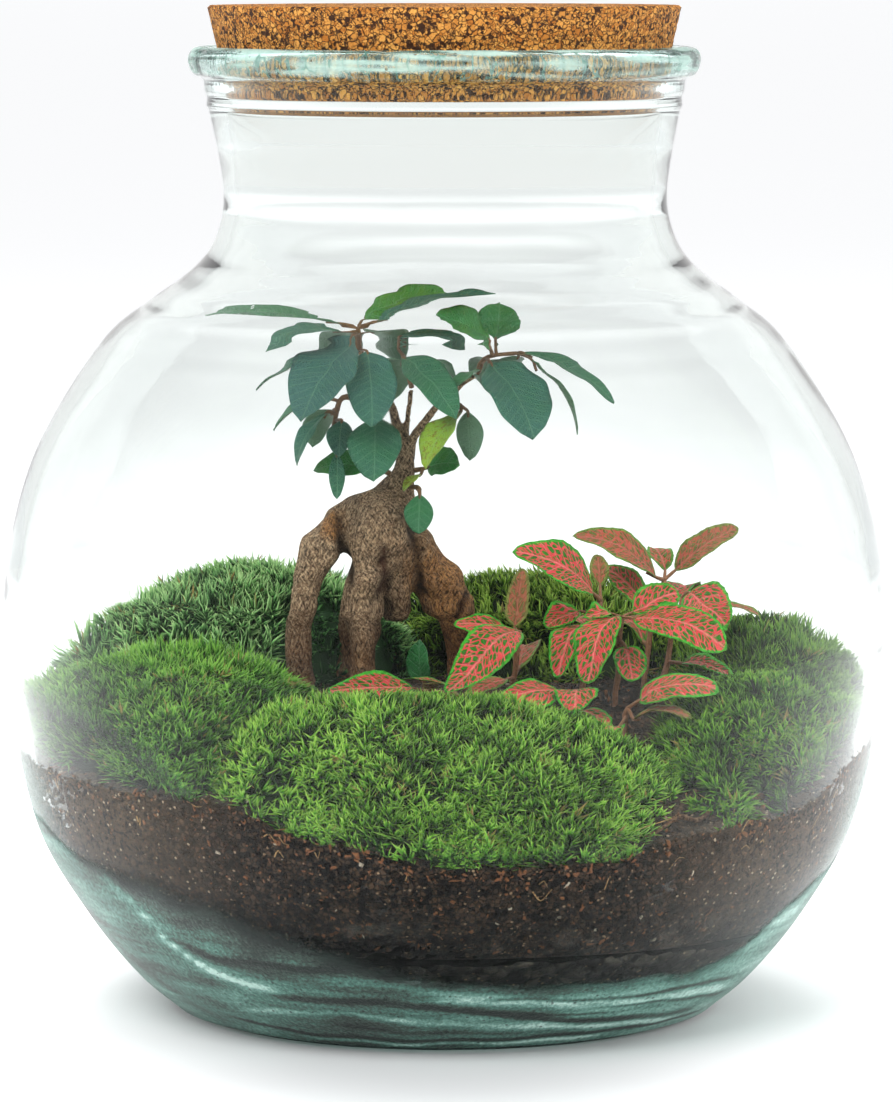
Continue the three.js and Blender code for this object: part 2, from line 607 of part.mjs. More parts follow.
// A stem with its leaves, each on a petiole that springs from the nearest point of the stem.
function leafyStem(stem, stemRadius, leaves, outline) {
  const parts = [limb(withRadius(stem, stemRadius), STEM_SIDES)];
  for (const leaf of leaves) {
    const [base, tip] = [V(...leaf[0]), V(...leaf[1])];
    const root = nearestOn(stem, base);
    const reach = base.clone().lerp(tip, PETIOLE_INTO_LEAF);
    const path = [root, base, reach];
    parts.push(limb(withRadius(path.map((p) => p.toArray()), PETIOLE_RADIUS), PETIOLE_SIDES));
    parts.push(blade(leaf, outline));
  }
  return fuse(parts);
}

// ------------------------------------------------------------------ the object

const garden = new THREE.Group();

function place(name, body, colour, roughness) {
  const material = new THREE.MeshStandardMaterial({ color: colour, roughness, metalness: 0 });
  const mesh = new THREE.Mesh(toGeometry(body), material);
  mesh.name = name;
  garden.add(mesh);
}

const stemHoles = Object.values(FITTONIA_STEMS)
  .map(({ stem }) => limb(withRadius(stem.slice(0, 2), FITTONIA_STEM_RADIUS), STEM_SIDES, CLEARANCE));
const suckerHole = limb(withRadius(FICUS_SUCKER.shoot, SHOOT_RADIUS), STEM_SIDES, CLEARANCE);
const holes = fuse([trunk(CLEARANCE), suckerHole, ...stemHoles]);

place('jar', jar(), 0xbfe3dc, 0.05);
place('cork_stopper', corkStopper(), 0xb98752, 0.85);
place('drainage_layer', drainageLayer(), 0x2b2522, 0.95);
place('soil', largest(soilBlock().subtract(holes)), 0x3a2a20, 0.95);

const ground = soilBlock(CLEARANCE, GROUND_SPREAD);
place('bark_chip', largest(barkChip().subtract(ground)), 0xa8713f, 0.9);
place('root_fibre', largest(rootFibre().subtract(ground)), 0x8a5f48, 0.9);

const room = roomInside(MOSS_GLASS_GAP);
let taken = fuse([holes, barkChip(CLEARANCE), rootFibre(CLEARANCE)]);
for (const [name, cushion] of Object.entries(MOSS)) {
  const dome = mossDome(cushion).intersect(room).subtract(ground).subtract(taken);
  place(name, largest(dome), cushion.colour, 0.9);
  taken = taken.add(mossDome(cushion, 2 * CLEARANCE));
}

place('ficus_trunk', trunk(), 0x7a5a3c, 0.85);
for (const [name, { shoot, leaves }] of Object.entries({ ...FICUS_SPRAYS, ficus_sucker: FICUS_SUCKER })) {
  place(name, leafyStem(shoot, SHOOT_RADIUS, leaves, outlines.ficus), 0x24452c, 0.35);
}
for (const [name, { stem, leaves, colour }] of Object.entries(FITTONIA_STEMS)) {
  place(name, leafyStem(stem, FITTONIA_STEM_RADIUS, leaves, outlines.fittonia), colour, 0.5);
}

export default garden;
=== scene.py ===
"""A closed jar garden, dressed for rendering.

A bellied jar of recycled glass with a cork stopper holds a ginseng ficus, nerve plants and cushions
of moss on dark soil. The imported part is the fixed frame; every piece made here rides on it. Sizes
are in millimetres and are turned into metres when a mesh is made.
"""

from __future__ import annotations

import logging
import math
from collections.abc import Iterable, Sequence
from dataclasses import dataclass, field
from enum import Enum

import bmesh
import bpy
import numpy as np
from mathutils import Matrix


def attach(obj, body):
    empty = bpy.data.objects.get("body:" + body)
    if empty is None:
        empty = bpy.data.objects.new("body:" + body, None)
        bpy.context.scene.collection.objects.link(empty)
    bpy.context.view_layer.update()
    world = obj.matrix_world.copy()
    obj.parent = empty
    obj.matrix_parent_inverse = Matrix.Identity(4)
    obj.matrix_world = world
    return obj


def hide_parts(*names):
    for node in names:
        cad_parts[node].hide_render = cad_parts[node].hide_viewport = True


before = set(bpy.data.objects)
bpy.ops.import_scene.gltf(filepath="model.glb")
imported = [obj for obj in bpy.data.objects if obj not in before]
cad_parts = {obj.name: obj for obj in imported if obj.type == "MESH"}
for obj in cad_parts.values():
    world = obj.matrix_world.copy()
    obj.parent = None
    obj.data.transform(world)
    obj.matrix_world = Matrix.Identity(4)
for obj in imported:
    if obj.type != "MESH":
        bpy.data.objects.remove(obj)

LOG = logging.getLogger("jar_garden")
MM = 0.001
TAU = 2 * math.pi
Point = Sequence[float]
Colour = tuple[float, float, float, float]

# ---------------------------------------------------------------- sizes shared with the solids

FOOT_UNDERSIDE = ((0, 12), (34, 10.5), (56, 6), (66, 1.6), (68.5, 0))
FOOT_EDGE = ((68.5, 0), (75.4, 0), (76.4, 1.2), (80.6, 1.8))
OUTER_WALL = (
    (80.6, 1.8), (92.3, 12), (106.7, 30), (120.2, 54), (128.2, 85), (131, 112), (128.6, 138),
    (119.2, 168), (100.6, 197.5), (86.9, 209.3), (77.2, 216.4), (70.1, 223.4), (66.4, 232),
    (65.4, 242), (67.9, 258.7), (70.4, 271),
)
COLLAR = (
    (70.4, 271), (70.9, 274.2), (73.6, 276), (75, 279.6), (74.4, 282.2), (72.3, 283.5),
    (69.2, 283.5), (67.4, 282.4), (64.15, 269.5),
)
INNER_MOUTH = ((64.15, 269.5), (62.8, 258), (61.6, 248))
INNER_BASE = ((115.2, 55), (109.5, 46.5), (102, 38.5), (93.5, 31.5), (84, 26))
INNER_FLOOR = ((84, 26), (70, 22.2), (36, 22.6), (0, 24))

GRIT_TOP = 33
SOIL_BOTTOM = 34.35
SOIL_CENTRE = 93
SOIL_RIM = (
    (0, 87), (45, 96), (90, 101), (135, 101), (156, 90), (174, 82), (200, 79), (238, 76.5),
    (256, 66), (272, 59), (292, 60.5), (306, 67), (322, 68.5), (343, 82), (360, 87),
)
GLASS_GAP = 0.35
BELLY_HEIGHT = 112
BELLY_RADIUS = 131
WALL_THICKNESS = 4.1
PRESSED_DEPTH = 1.8


@dataclass(frozen=True)
class Leaf:
    """One leaf: where its blade starts and ends, its width, and how it is bowed and turned.

    `shade` picks its colour: 0 is the plant's oldest, darkest leaf and 1 its youngest.
    """

    base: Point
    tip: Point
    width: float
    arch: float
    roll: float
    shade: float = 0.0


@dataclass(frozen=True)
class Shoot:
    """A stem through its points, and the leaves on it."""

    stem: tuple[Point, ...]
    leaves: tuple[Leaf, ...]


FICUS_SHOOTS: dict[str, Shoot] = {
    "ficus_spray_left": Shoot(
        ((-25.1, 0.4, 194.1), (-25.4, 0, 199.4)),
        (
            Leaf((-30, 1.6, 200.6), (-70, -6, 205), 6, 0.05, 15, 0.3),
            Leaf((-24, 4.6, 202), (2, 12, 209), 10, 0.1, 40, 0.55),
            Leaf((-21, -4, 201.4), (15, -14, 211), 7, 0.06, 25, 0.1),
            Leaf((-30, -3.6, 197.6), (-52, -18, 194), 8, 0.14, 25, 0.12),
            Leaf((-30, 4.4, 197), (-50, 18, 193), 7, 0.12, 20, 0.08),
            Leaf((-31, -1.4, 194.4), (-56, 6, 182), 6, 0.06, 10, 0.12),
            Leaf((-27, -5.4, 196), (-41.5, -24, 175), 20, 0.1, 12, 0),
            Leaf((-22.6, -5.6, 194), (-21, -20, 173), 15.5, 0.1, 0, 0.05),
            Leaf((-27, 5, 196), (-33, 30, 184), 14, 0.12, 0, 0.1),
            Leaf((-22, 6, 197), (-14, 30, 187), 13, 0.14, 0, 0.2),
        ),
    ),
    "ficus_spray_right": Shoot(
        ((9.5, -1, 187.4), (13, -1, 191.5), (21.5, -1.6, 193)),
        (
            Leaf((13.4, -4, 194.4), (-2.4, -12, 204), 14, 0.1, 45, 0.5),
            Leaf((15, 2, 194.4), (16.6, 7, 206.6), 13, 0.14, 20, 0.4),
            Leaf((22, 1.4, 191.6), (18, 9, 183), 9, 0.1, 0, 0.1),
            Leaf((10.6, -2.4, 188.6), (2.2, -6, 181), 9, 0.12, 0, 0.35),
            Leaf((13.4, -6, 190), (26, -22, 170), 21, 0.1, 8, 0.08),
            Leaf((22.8, -4, 193.4), (49.6, -10, 179), 8, 0.1, 15, 0.2),
            Leaf((25.6, 3.6, 190.6), (39.6, 8, 168.4), 5, 0.12, 0, 0.3),
            Leaf((13, 4.6, 190), (15, 26, 178), 14, 0.12, 0, 0.2),
        ),
    ),
    "ficus_spray_middle": Shoot(
        ((-9.6, 7.4, 182.5), (-11.6, 5, 191)),
        (
            Leaf((-12, 1, 191.4), (3.6, -19, 175.4), 12, 0.1, 20, 0.2),
            Leaf((-13.6, 4, 194.6), (6, 2, 194.2), 7, 0.13, 35, 0.12),
            Leaf((-8, 8, 190.6), (4, 13.6, 183.4), 8, 0.1, 0, 0.2),
            Leaf((-12, 10, 190), (-16, 30, 177), 12, 0.1, 0, 0.2),
        ),
    ),
    "ficus_spray_low": Shoot(
        ((-26.9, 5.6, 180), (-31, 4.6, 179), (-33, 3, 170), (-32.4, 0, 165)),
        (
            Leaf((-35, 5, 179.6), (-50.6, 2, 170), 7, 0.12, 0, 0.25),
            Leaf((-34.6, 0.6, 176), (-43.4, -6, 160.4), 7, 0.12, 0, 0.1),
            Leaf((-30.4, -1, 173.6), (-31, -6.6, 163), 8, 0.1, 0, 0.1),
            Leaf((-31.8, -4, 164), (-31.8, -8.4, 151), 5, 0.08, 0, 0.15),
            Leaf((-33, 8, 176), (-40, 24, 163), 10, 0.12, 0, 0.2),
        ),
    ),
    "ficus_leaf_drop": Shoot(
        ((-17.6, 3.8, 177.6), (-19.6, -1, 175.6)),
        (
            Leaf((-20.2, -4, 174.4), (-20.6, -14.6, 157), 16, 0.08, 0, 0.18),
        ),
    ),
    "ficus_leaf_pair": Shoot(
        ((-0.4, -3.5, 179.2), (2.4, -5, 179.2), (5, -5.6, 178)),
        (
            Leaf((5, -7, 176.6), (-5.4, -16, 160.4), 12.5, 0.1, 0, 0.8),
            Leaf((7, -4.6, 176.4), (7.4, -2, 161.6), 8, 0.1, 0, 0.25),
        ),
    ),
    "ficus_leaf_neck_left": Shoot(
        ((-16.3, 3.2, 157.6), (-18.6, 2, 158.6)),
        (
            Leaf((-20.6, 1.6, 159), (-39, 1, 158.2), 9.5, 0.12, 45, 0.5),
        ),
    ),
    "ficus_leaf_neck_right": Shoot(
        ((-8.7, 4.1, 158.4), (-6.4, 2.4, 159)),
        (
            Leaf((-5, 1.4, 159.4), (4.4, -3, 160.6), 11, 0.1, 45, 0.5),
            Leaf((-7, 0.4, 157.6), (-12, -5, 153), 4, 0.1, 0, 1),
        ),
    ),
    "ficus_leaf_hanging": Shoot(
        ((-10.3, 1.9, 153.6), (-8.2, -0.8, 153.8), (-7.6, -2.6, 153.2)),
        (
            Leaf((-7.4, -3.8, 152), (-7.6, -6.4, 140.6), 8.5, 0.06, 0, 0.3),
        ),
    ),
    "ficus_sucker": Shoot(
        ((-6, 3, 86), (-6, 3, 96.6)),
        (
            Leaf((-6, 3, 97.4), (-7.4, 1, 107.6), 9, 0.1, 180, 0.4),
        ),
    ),
}

NERVE_SHOOTS: dict[str, Shoot] = {
    "fittonia_back": Shoot(
        ((60, 8, 80), (60, 8, 98), (62.6, 9, 112), (65.6, 10.4, 125)),
        (
            Leaf((63, 8.6, 126), (38, 4, 139), 12, 0.16, 40, 0.7),
            Leaf((69, 12.6, 127.6), (88.4, 12, 141), 11, 0.08, 40, 0.8),
            Leaf((66, 14, 127.6), (63, 27, 133), 8, 0.12, 0, 0.6),
            Leaf((60.4, 11, 118), (47, 17, 128.6), 9, 0.12, 40, 0.5),
            Leaf((67, 13.6, 118), (76, 34, 119), 12, 0.14, 0, 0.4),
            Leaf((60, 14, 106), (50, 33, 110), 12, 0.16, 0, 0.5),
        ),
    ),
    "fittonia_right": Shoot(
        ((64, -6, 79), (64, -6, 94), (67, -3, 108), (70.4, -1, 121.6)),
        (
            Leaf((72.6, -3, 123), (83, -19, 113.4), 14, 0.16, 30, 0.35),
            Leaf((74.4, 2, 119.4), (94, 3, 113.6), 7, 0.14, 20, 0.7),
            Leaf((70, -9, 104.6), (84, -24, 101), 7, 0.14, 20, 0.3),
            Leaf((71, 3, 112), (85, 17, 112), 10, 0.16, 0, 0.5),
        ),
    ),
    "fittonia_centre": Shoot(
        ((50, -15, 76), (50, -15, 92), (51, -17, 106), (52, -18, 117.6)),
        (
            Leaf((55.6, -20, 117), (81.6, -35, 111), 15, 0.12, 40, 0.12),
            Leaf((50.4, -21.6, 118.4), (41.6, -35, 100.6), 14, 0.16, 0, 0.05),
            Leaf((48.6, -18.4, 119.6), (41, -21, 117.6), 8, 0.16, 30, 0.35),
            Leaf((55, -15, 119.4), (69, -10, 123.6), 10, 0.1, 45, 0.4),
            Leaf((53, -22, 109.6), (54.6, -30, 100.6), 10.5, 0.12, 0, 0.2),
        ),
    ),
    "fittonia_middle": Shoot(
        ((41, -5, 79), (41, -5, 96), (43, -7, 110), (45.6, -9.4, 122)),
        (
            Leaf((43.6, -12, 124), (20, -22, 137), 15, 0.14, 50, 0.1),
            Leaf((40.6, -12, 114), (33, -22.6, 101.6), 11, 0.14, 0, 0.3),
            Leaf((40, -6.6, 119.6), (29.6, -9.4, 112), 11, 0.14, 40, 0.35),
            Leaf((45.6, -6, 125.4), (45, 0, 134), 6, 0.1, 0, 0.9),
            Leaf((42, -1, 112), (35, 18, 111), 11, 0.16, 0, 0.5),
        ),
    ),
    "fittonia_low_front": Shoot(
        ((36, -28, 72), (36, -28, 92), (36.6, -29.4, 96)),
        (
            Leaf((38.4, -33, 97.4), (37.6, -43, 92.6), 13, 0.14, 0, 0.15),
            Leaf((33, -31.6, 97), (16, -40.6, 94.6), 12, 0.14, 45, 0.12),
            Leaf((40, -31, 91.6), (47.6, -38.6, 87.6), 8, 0.1, 0, 0.2),
        ),
    ),
    "fittonia_left": Shoot(
        ((20, -12, 78), (20, -12, 96), (21, -13.4, 104), (21.6, -14.6, 111)),
        (
            Leaf((22, -18.6, 112), (0.4, -42, 97.6), 13, 0.2, 35, 0.2),
            Leaf((18, -14, 112.4), (2.6, -15, 114.4), 10.5, 0.1, 50, 0.25),
            Leaf((18.4, -16, 101), (7, -27, 93.6), 8.5, 0.12, 20, 0.6),
            Leaf((20.8, -10, 112.4), (23.4, -2.4, 130), 7, 0.06, 0, 1),
            Leaf((22, -8, 103), (25.6, 10, 103), 9.5, 0.16, 0, 0.8),
        ),
    ),
    "fittonia_creeping": Shoot(
        ((4, -26, 76), (4, -26, 93), (0, -28.6, 96), (-6, -31.4, 97)),
        (
            Leaf((-9, -33, 98.6), (-34, -38, 97), 12, 0.14, 60, 0.1),
            Leaf((3, -23, 97), (-13.4, -20, 100.4), 6, 0.12, 0, 0.3),
            Leaf((-3.6, -34, 97.8), (-4.4, -39.6, 101.6), 5, 0.1, 0, 0.9),
        ),
    ),
    "fittonia_low_right": Shoot(
        ((52, -38, 70), (52, -38, 89), (53, -40, 93.6)),
        (
            Leaf((56, -42.6, 96), (78.6, -50, 100), 12, 0.16, 40, 0.3),
            Leaf((54.4, -44.6, 91), (70.6, -54, 92.8), 7, 0.14, 10, 0.9),
            Leaf((50, -45, 88.6), (44.6, -52.6, 87), 9, 0.1, 0, 0.35),
        ),
    ),
}


LIMB_AXES: tuple[tuple[Point, ...], ...] = (
    ((-11, 6, 167), (-12, 6, 158), (-17.5, 6, 146), (-19.6, 6, 128)),
    ((-16, 6, 149), (-31, 4.5, 142), (-40.6, 0.5, 126), (-43.4, -2, 105), (-43, -2, 80)),
    ((-21, 4, 136), (-23.4, -4, 121), (-23.9, -7, 103), (-23.9, -8, 79)),
    ((-17, 9, 136), (-14.8, 12.5, 118), (-15.2, 13, 112)),
    ((-16, 7, 142), (-3.2, 10.2, 125), (5, 13, 110), (4, 14, 80)),
    ((-20, 10, 138), (-26.4, 21, 117), (-28, 25, 80)),
    ((-12.4, 6, 164), (-15.4, 6, 176), (-25, 0.6, 193)),
    ((-11, 6, 163), (-2, -1.6, 178), (9, -1, 187)),
    ((-11.6, 6, 163.6), (-11, 7.6, 174), (-9.8, 7.4, 182)),
    ((-16.4, 5.6, 178), (-26.4, 5.6, 180)),
)

# ---------------------------------------------------------------- curves, ripples and grains


def smooth_curve(points: Sequence[Point], spacing: float) -> np.ndarray:
    """Samples a smooth curve through points.

    Args:
        points: The places that the curve passes through.
        spacing: The distance between samples, about.

    Returns:
        The samples, one row each.
    """
    knots = np.asarray(points, float)
    padded = np.vstack([2 * knots[:1] - knots[1:2], knots, 2 * knots[-1:] - knots[-2:-1]])
    samples = []
    for i in range(len(knots) - 1):
        a, b, c, d = padded[i : i + 4]
        steps = max(1, round(float(np.linalg.norm(c - b)) / spacing))
        t = np.linspace(0, 1, steps, endpoint=False)[:, None]
        bend = (2 * a - 5 * b + 4 * c - d) * t**2 + (3 * b - a - 3 * c + d) * t**3
        samples.append(b + 0.5 * ((c - a) * t + bend))
    return np.vstack([*samples, knots[-1:]])


def fade(value: np.ndarray | float, low: float, high: float) -> np.ndarray:
    """Rises smoothly from 0 at `low` to 1 at `high`."""
    t = np.clip((np.asarray(value) - low) / (high - low), 0, 1)
    return t * t * (3 - 2 * t)


def unit(vectors: np.ndarray) -> np.ndarray:
    """Scales each row to length 1."""
    return vectors / np.maximum(np.linalg.norm(vectors, axis=-1, keepdims=True), 1e-9)


class Ripple:
    """A smooth random rise and fall over space, the same on every run."""

    def __init__(self, wavelength: float, seed: int, stretch: Point = (1, 1, 1)) -> None:
        """Draws the waves.

        Args:
            wavelength: The usual distance from crest to crest.
            seed: The draw's seed.
            stretch: How much longer the waves are along each axis.
        """
        rng = np.random.default_rng(seed)
        lengths = wavelength * rng.uniform(0.7, 1.6, 12)
        self.waves = unit(rng.normal(size=(12, 3))) * (TAU / lengths)[:, None] / np.asarray(stretch)
        self.phases = rng.uniform(0, TAU, 12)

    def at(self, points: np.ndarray) -> np.ndarray:
        """Gives the height at each point, mostly between -1 and 1."""
        return np.sin(points @ self.waves.T + self.phases).sum(axis=1) / math.sqrt(12)


def grains(points: np.ndarray, size: float, seed: int) -> np.ndarray:
    """Splits space into packed grains.

    Args:
        points: The places to look at.
        size: The usual width of a grain.
        seed: The draw's seed.

    Returns:
        For each point, how far it is inside its grain (0 at the border).
    """
    scaled = points / size
    corner = np.floor(scaled)
    nearest = np.full(len(points), 9.0)
    second = nearest.copy()
    for offset in np.ndindex(3, 3, 3):
        cell = corner + np.array(offset) - 1
        key = cell @ np.array([12.9898, 78.233, 37.719]) + seed
        spot = np.stack([np.sin(key * k) * 43758.5453 % 1 for k in (1.0, 1.7, 2.3)], axis=1)
        distance = np.linalg.norm(cell + spot - scaled, axis=1)
        closer = distance < nearest
        second = np.where(closer, nearest, np.minimum(second, distance))
        nearest = np.minimum(nearest, distance)
    return second - nearest


def inner_wall() -> np.ndarray:
    """The inside of the jar's wall from the mouth down.

    It follows the outside closely above the soil, so that what stands behind it is seen undistorted.
    """
    outside = smooth_curve(OUTER_WALL, 1.5)
    along = unit(np.gradient(outside, axis=0))
    normal = outside + WALL_THICKNESS * np.column_stack([-along[:, 1], along[:, 0]])
    sideways = outside - (WALL_THICKNESS, 1.5)
    upper = sideways[(sideways[:, 1] > 124) & (sideways[:, 1] < 238)][::-1]
    lower = normal[(normal[:, 1] > 62) & (normal[:, 1] < 114)][::-1]
    mouth = smooth_curve(INNER_MOUTH, 1.5)
    return smooth_curve(np.vstack([mouth[:-2:3], upper[::4], lower[::4], INNER_BASE]), 1.5)


INNER_CURVE = inner_wall()


def glass_radius(z: np.ndarray) -> np.ndarray:
    """Radius of the glass inside the jar at each height."""
    return np.interp(z, INNER_CURVE[::-1, 1], INNER_CURVE[::-1, 0])


def inside_glass(points: np.ndarray, gap: float) -> np.ndarray:
    """Pushes points towards the jar's axis until they are clear of the glass by a gap."""
    reach = np.hypot(points[:, 0], points[:, 1])
    share = np.minimum(1, (glass_radius(points[:, 2]) - gap) / np.maximum(reach, 1e-6))
    return points * np.stack([share, share, np.ones_like(share)], axis=1)


def pressed(z: np.ndarray) -> np.ndarray:
    """How far the wet earth is pressed into close contact with the glass at each height."""
    return PRESSED_DEPTH * fade(z, 104, 98)


def blown(points: np.ndarray) -> np.ndarray:
    """How far the uneven blowing of the jar moves each point of its wall outwards."""
    ball = unit(points - (0, 0, BELLY_HEIGHT)) * BELLY_RADIUS
    height = points[:, 2]
    return Ripple(62, 3).at(ball) * 0.35 * fade(height, 4, 40) * fade(height, 268, 250)


def rim_height(angle: np.ndarray) -> np.ndarray:
    """Height of the soil against the glass at each azimuth in radians."""
    degrees = np.degrees(angle) % 360
    azimuths, heights = np.asarray(SOIL_RIM, float).T
    i = np.clip(np.searchsorted(azimuths, degrees, side="right"), 1, len(azimuths) - 1)
    t = (degrees - azimuths[i - 1]) / (azimuths[i] - azimuths[i - 1])
    return heights[i - 1] + (heights[i] - heights[i - 1]) * t * t * (3 - 2 * t)


def soil_height(x: np.ndarray, y: np.ndarray) -> np.ndarray:
    """Height of the soil's surface at each place."""
    rim = rim_height(np.arctan2(y, x))
    share = np.minimum(np.hypot(x, y) / (glass_radius(rim) - GLASS_GAP), 1)
    waves = 0.8 * np.sin(x * 0.33 + 1.3) * np.cos(y * 0.29) + 0.5 * np.sin(x * 0.81 - y * 0.67)
    return SOIL_CENTRE + (rim - SOIL_CENTRE) * share**2 + waves


# ---------------------------------------------------------------- mesh drafting


def ring_faces(rows: int, columns: int) -> list[np.ndarray]:
    """Faces of a closed skin over rings of points, with a cap on each end.

    Args:
        rows: How many rings there are.
        columns: How many points each ring has.

    Returns:
        The side faces, then the two caps.
    """
    index = np.arange(rows * columns).reshape(rows, columns)
    following = np.roll(index, -1, axis=1)
    quads = [index[:-1], following[:-1], following[1:], index[1:]]
    sides = np.stack([part.ravel() for part in quads], axis=1)
    return [sides, index[:1, ::-1], index[-1:]]


@dataclass
class Draft:
    """A mesh being put together from closed parts, with a value of each kind for every point."""

    points: list[np.ndarray] = field(default_factory=list)
    faces: list[np.ndarray] = field(default_factory=list)
    slots: list[np.ndarray] = field(default_factory=list)
    values: dict[str, list[np.ndarray]] = field(default_factory=dict)
    count: int = 0

    def add(
        self, points: np.ndarray, faces: Iterable[np.ndarray], slot: int = 0, **values: np.ndarray | float
    ) -> None:
        """Adds a closed part, turned so that its faces look outwards.

        Args:
            points: Its points in millimetres.
            faces: Its faces, in groups of equally many corners.
            slot: The finish that it takes, by its place in the list given to `build`.
            **values: Values for its points, one for all or one for each.
        """
        faces = list(faces)
        volume = 0.0
        for group in faces:
            first = points[group[:, 0]]
            for k in range(1, group.shape[1] - 1):
                cross = np.cross(points[group[:, k]], points[group[:, k + 1]])
                volume += float((first * cross).sum())
        for group in faces:
            turned = group if volume > 0 else group[:, ::-1]
            self.faces.append(turned + self.count)
            self.slots.append(np.full(len(group), slot))
        for name, value in values.items():
            value = np.asarray(value, float)
            shape = (len(points),) if value.ndim < 2 else (len(points), value.shape[1])
            self.values.setdefault(name, []).append(np.broadcast_to(value, shape))
        self.points.append(points)
        self.count += len(points)

    def build(self, name: str, finishes: Sequence[bpy.types.Material]) -> bpy.types.Object:
        """Makes the mesh object.

        Args:
            name: The piece's name.
            finishes: Its materials, in the order of the slots.

        Returns:
            The new object, linked to the scene.
        """
        mesh = bpy.data.meshes.new(name)
        sizes = np.concatenate([np.full(len(group), group.shape[1]) for group in self.faces])
        corners = np.concatenate([group.ravel() for group in self.faces]).astype(np.int32)
        mesh.vertices.add(self.count)
        mesh.loops.add(len(corners))
        mesh.polygons.add(len(sizes))
        mesh.vertices.foreach_set("co", (np.vstack(self.points) * MM).ravel())
        mesh.loops.foreach_set("vertex_index", corners)
        mesh.polygons.foreach_set("loop_start", np.concatenate([[0], np.cumsum(sizes)[:-1]]))
        mesh.polygons.foreach_set("material_index", np.concatenate(self.slots))
        mesh.polygons.foreach_set("use_smooth", np.ones(len(sizes), bool))
        for kind, parts in self.values.items():
            joined = np.concatenate(parts)
            if kind == "bake_map":
                layer = mesh.uv_layers.new(name="OFBake")
                layer.uv.foreach_set("vector", joined[corners].ravel())
            elif joined.ndim == 2:
                mesh.attributes.new(kind, "FLOAT_VECTOR", "POINT").data.foreach_set("vector", joined.ravel())
            else:
                mesh.attributes.new(kind, "FLOAT", "POINT").data.foreach_set("value", joined)
        for finish in finishes:
            mesh.materials.append(finish)
        mesh.update(calc_edges=True)
        mesh.validate()
        piece = bpy.data.objects.new(name, mesh)
        bpy.context.scene.collection.objects.link(piece)
        return piece


def settle(piece: bpy.types.Object, slot: str, *nodes: str) -> None:
    """Puts a finished piece on the part, in the place of the solids that it stands for.

    Args:
        piece: The piece.
        slot: The record's material slot that it takes its finish from; not used.
        *nodes: The solids that it replaces.
    """
    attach(piece, "root")
    if nodes:
        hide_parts(*nodes)
    LOG.info("%s: %d faces", piece.name, len(piece.data.polygons))


def tube(path: np.ndarray, radii: np.ndarray | float, sides: int) -> tuple[np.ndarray, list[np.ndarray]]:
    """A round limb along a path.

    Args:
        path: The points that it follows.
        radii: Its radius, one for all or one for each point.
        sides: How many points go round it.

    Returns:
        Its points and faces.
    """
    tangents = unit(np.gradient(path, axis=0))
    radii = np.broadcast_to(np.asarray(radii, float), (len(path),))
    side = np.cross(tangents[0], (0.31, 0.17, 0.93) if abs(tangents[0][2]) < 0.8 else (0.93, 0.3, 0.1))
    angles = np.arange(sides) * TAU / sides
    rings = []
    for centre, tangent, radius in zip(path, tangents, radii):
        side = unit(side - tangent * float(side @ tangent))
        other = np.cross(tangent, side)
        rings.append(centre + radius * (np.outer(np.cos(angles), side) + np.outer(np.sin(angles), other)))
    return np.vstack(rings), ring_faces(len(path), sides)


# ---------------------------------------------------------------- shader building


def screen(red: float, green: float, blue: float) -> Colour:
    """Turns a colour as seen on a screen, 0 to 255, into the linear one that shaders use."""
    levels = (level / 255 for level in (red, green, blue))
    return (*(v / 12.92 if v <= 0.04045 else ((v + 0.055) / 1.055) ** 2.4 for v in levels), 1.0)


@dataclass(frozen=True)
class Signal:
    """What a node gives; a sum, product or comparison of it is a new Math node."""

    bench: Bench
    socket: bpy.types.NodeSocket

    def __add__(self, other: Value) -> Signal:
        """Adds."""
        return self.bench.calc("ADD", self, other)

    def __sub__(self, other: Value) -> Signal:
        """Takes away."""
        return self.bench.calc("SUBTRACT", self, other)

    def __rsub__(self, other: Value) -> Signal:
        """Takes this away from a number."""
        return self.bench.calc("SUBTRACT", other, self)

    def __mul__(self, other: Value) -> Signal:
        """Multiplies."""
        return self.bench.calc("MULTIPLY", self, other)

    def __rtruediv__(self, other: Value) -> Signal:
        """Divides a number by this."""
        return self.bench.calc("DIVIDE", other, self)

    def __gt__(self, other: Value) -> Signal:
        """Gives 1 where this is greater, and 0 elsewhere."""
        return self.bench.calc("GREATER_THAN", self, other)

    def __lt__(self, other: Value) -> Signal:
        """Gives 1 where this is less, and 0 elsewhere."""
        return self.bench.calc("LESS_THAN", self, other)


Value = float | Sequence[float] | Signal


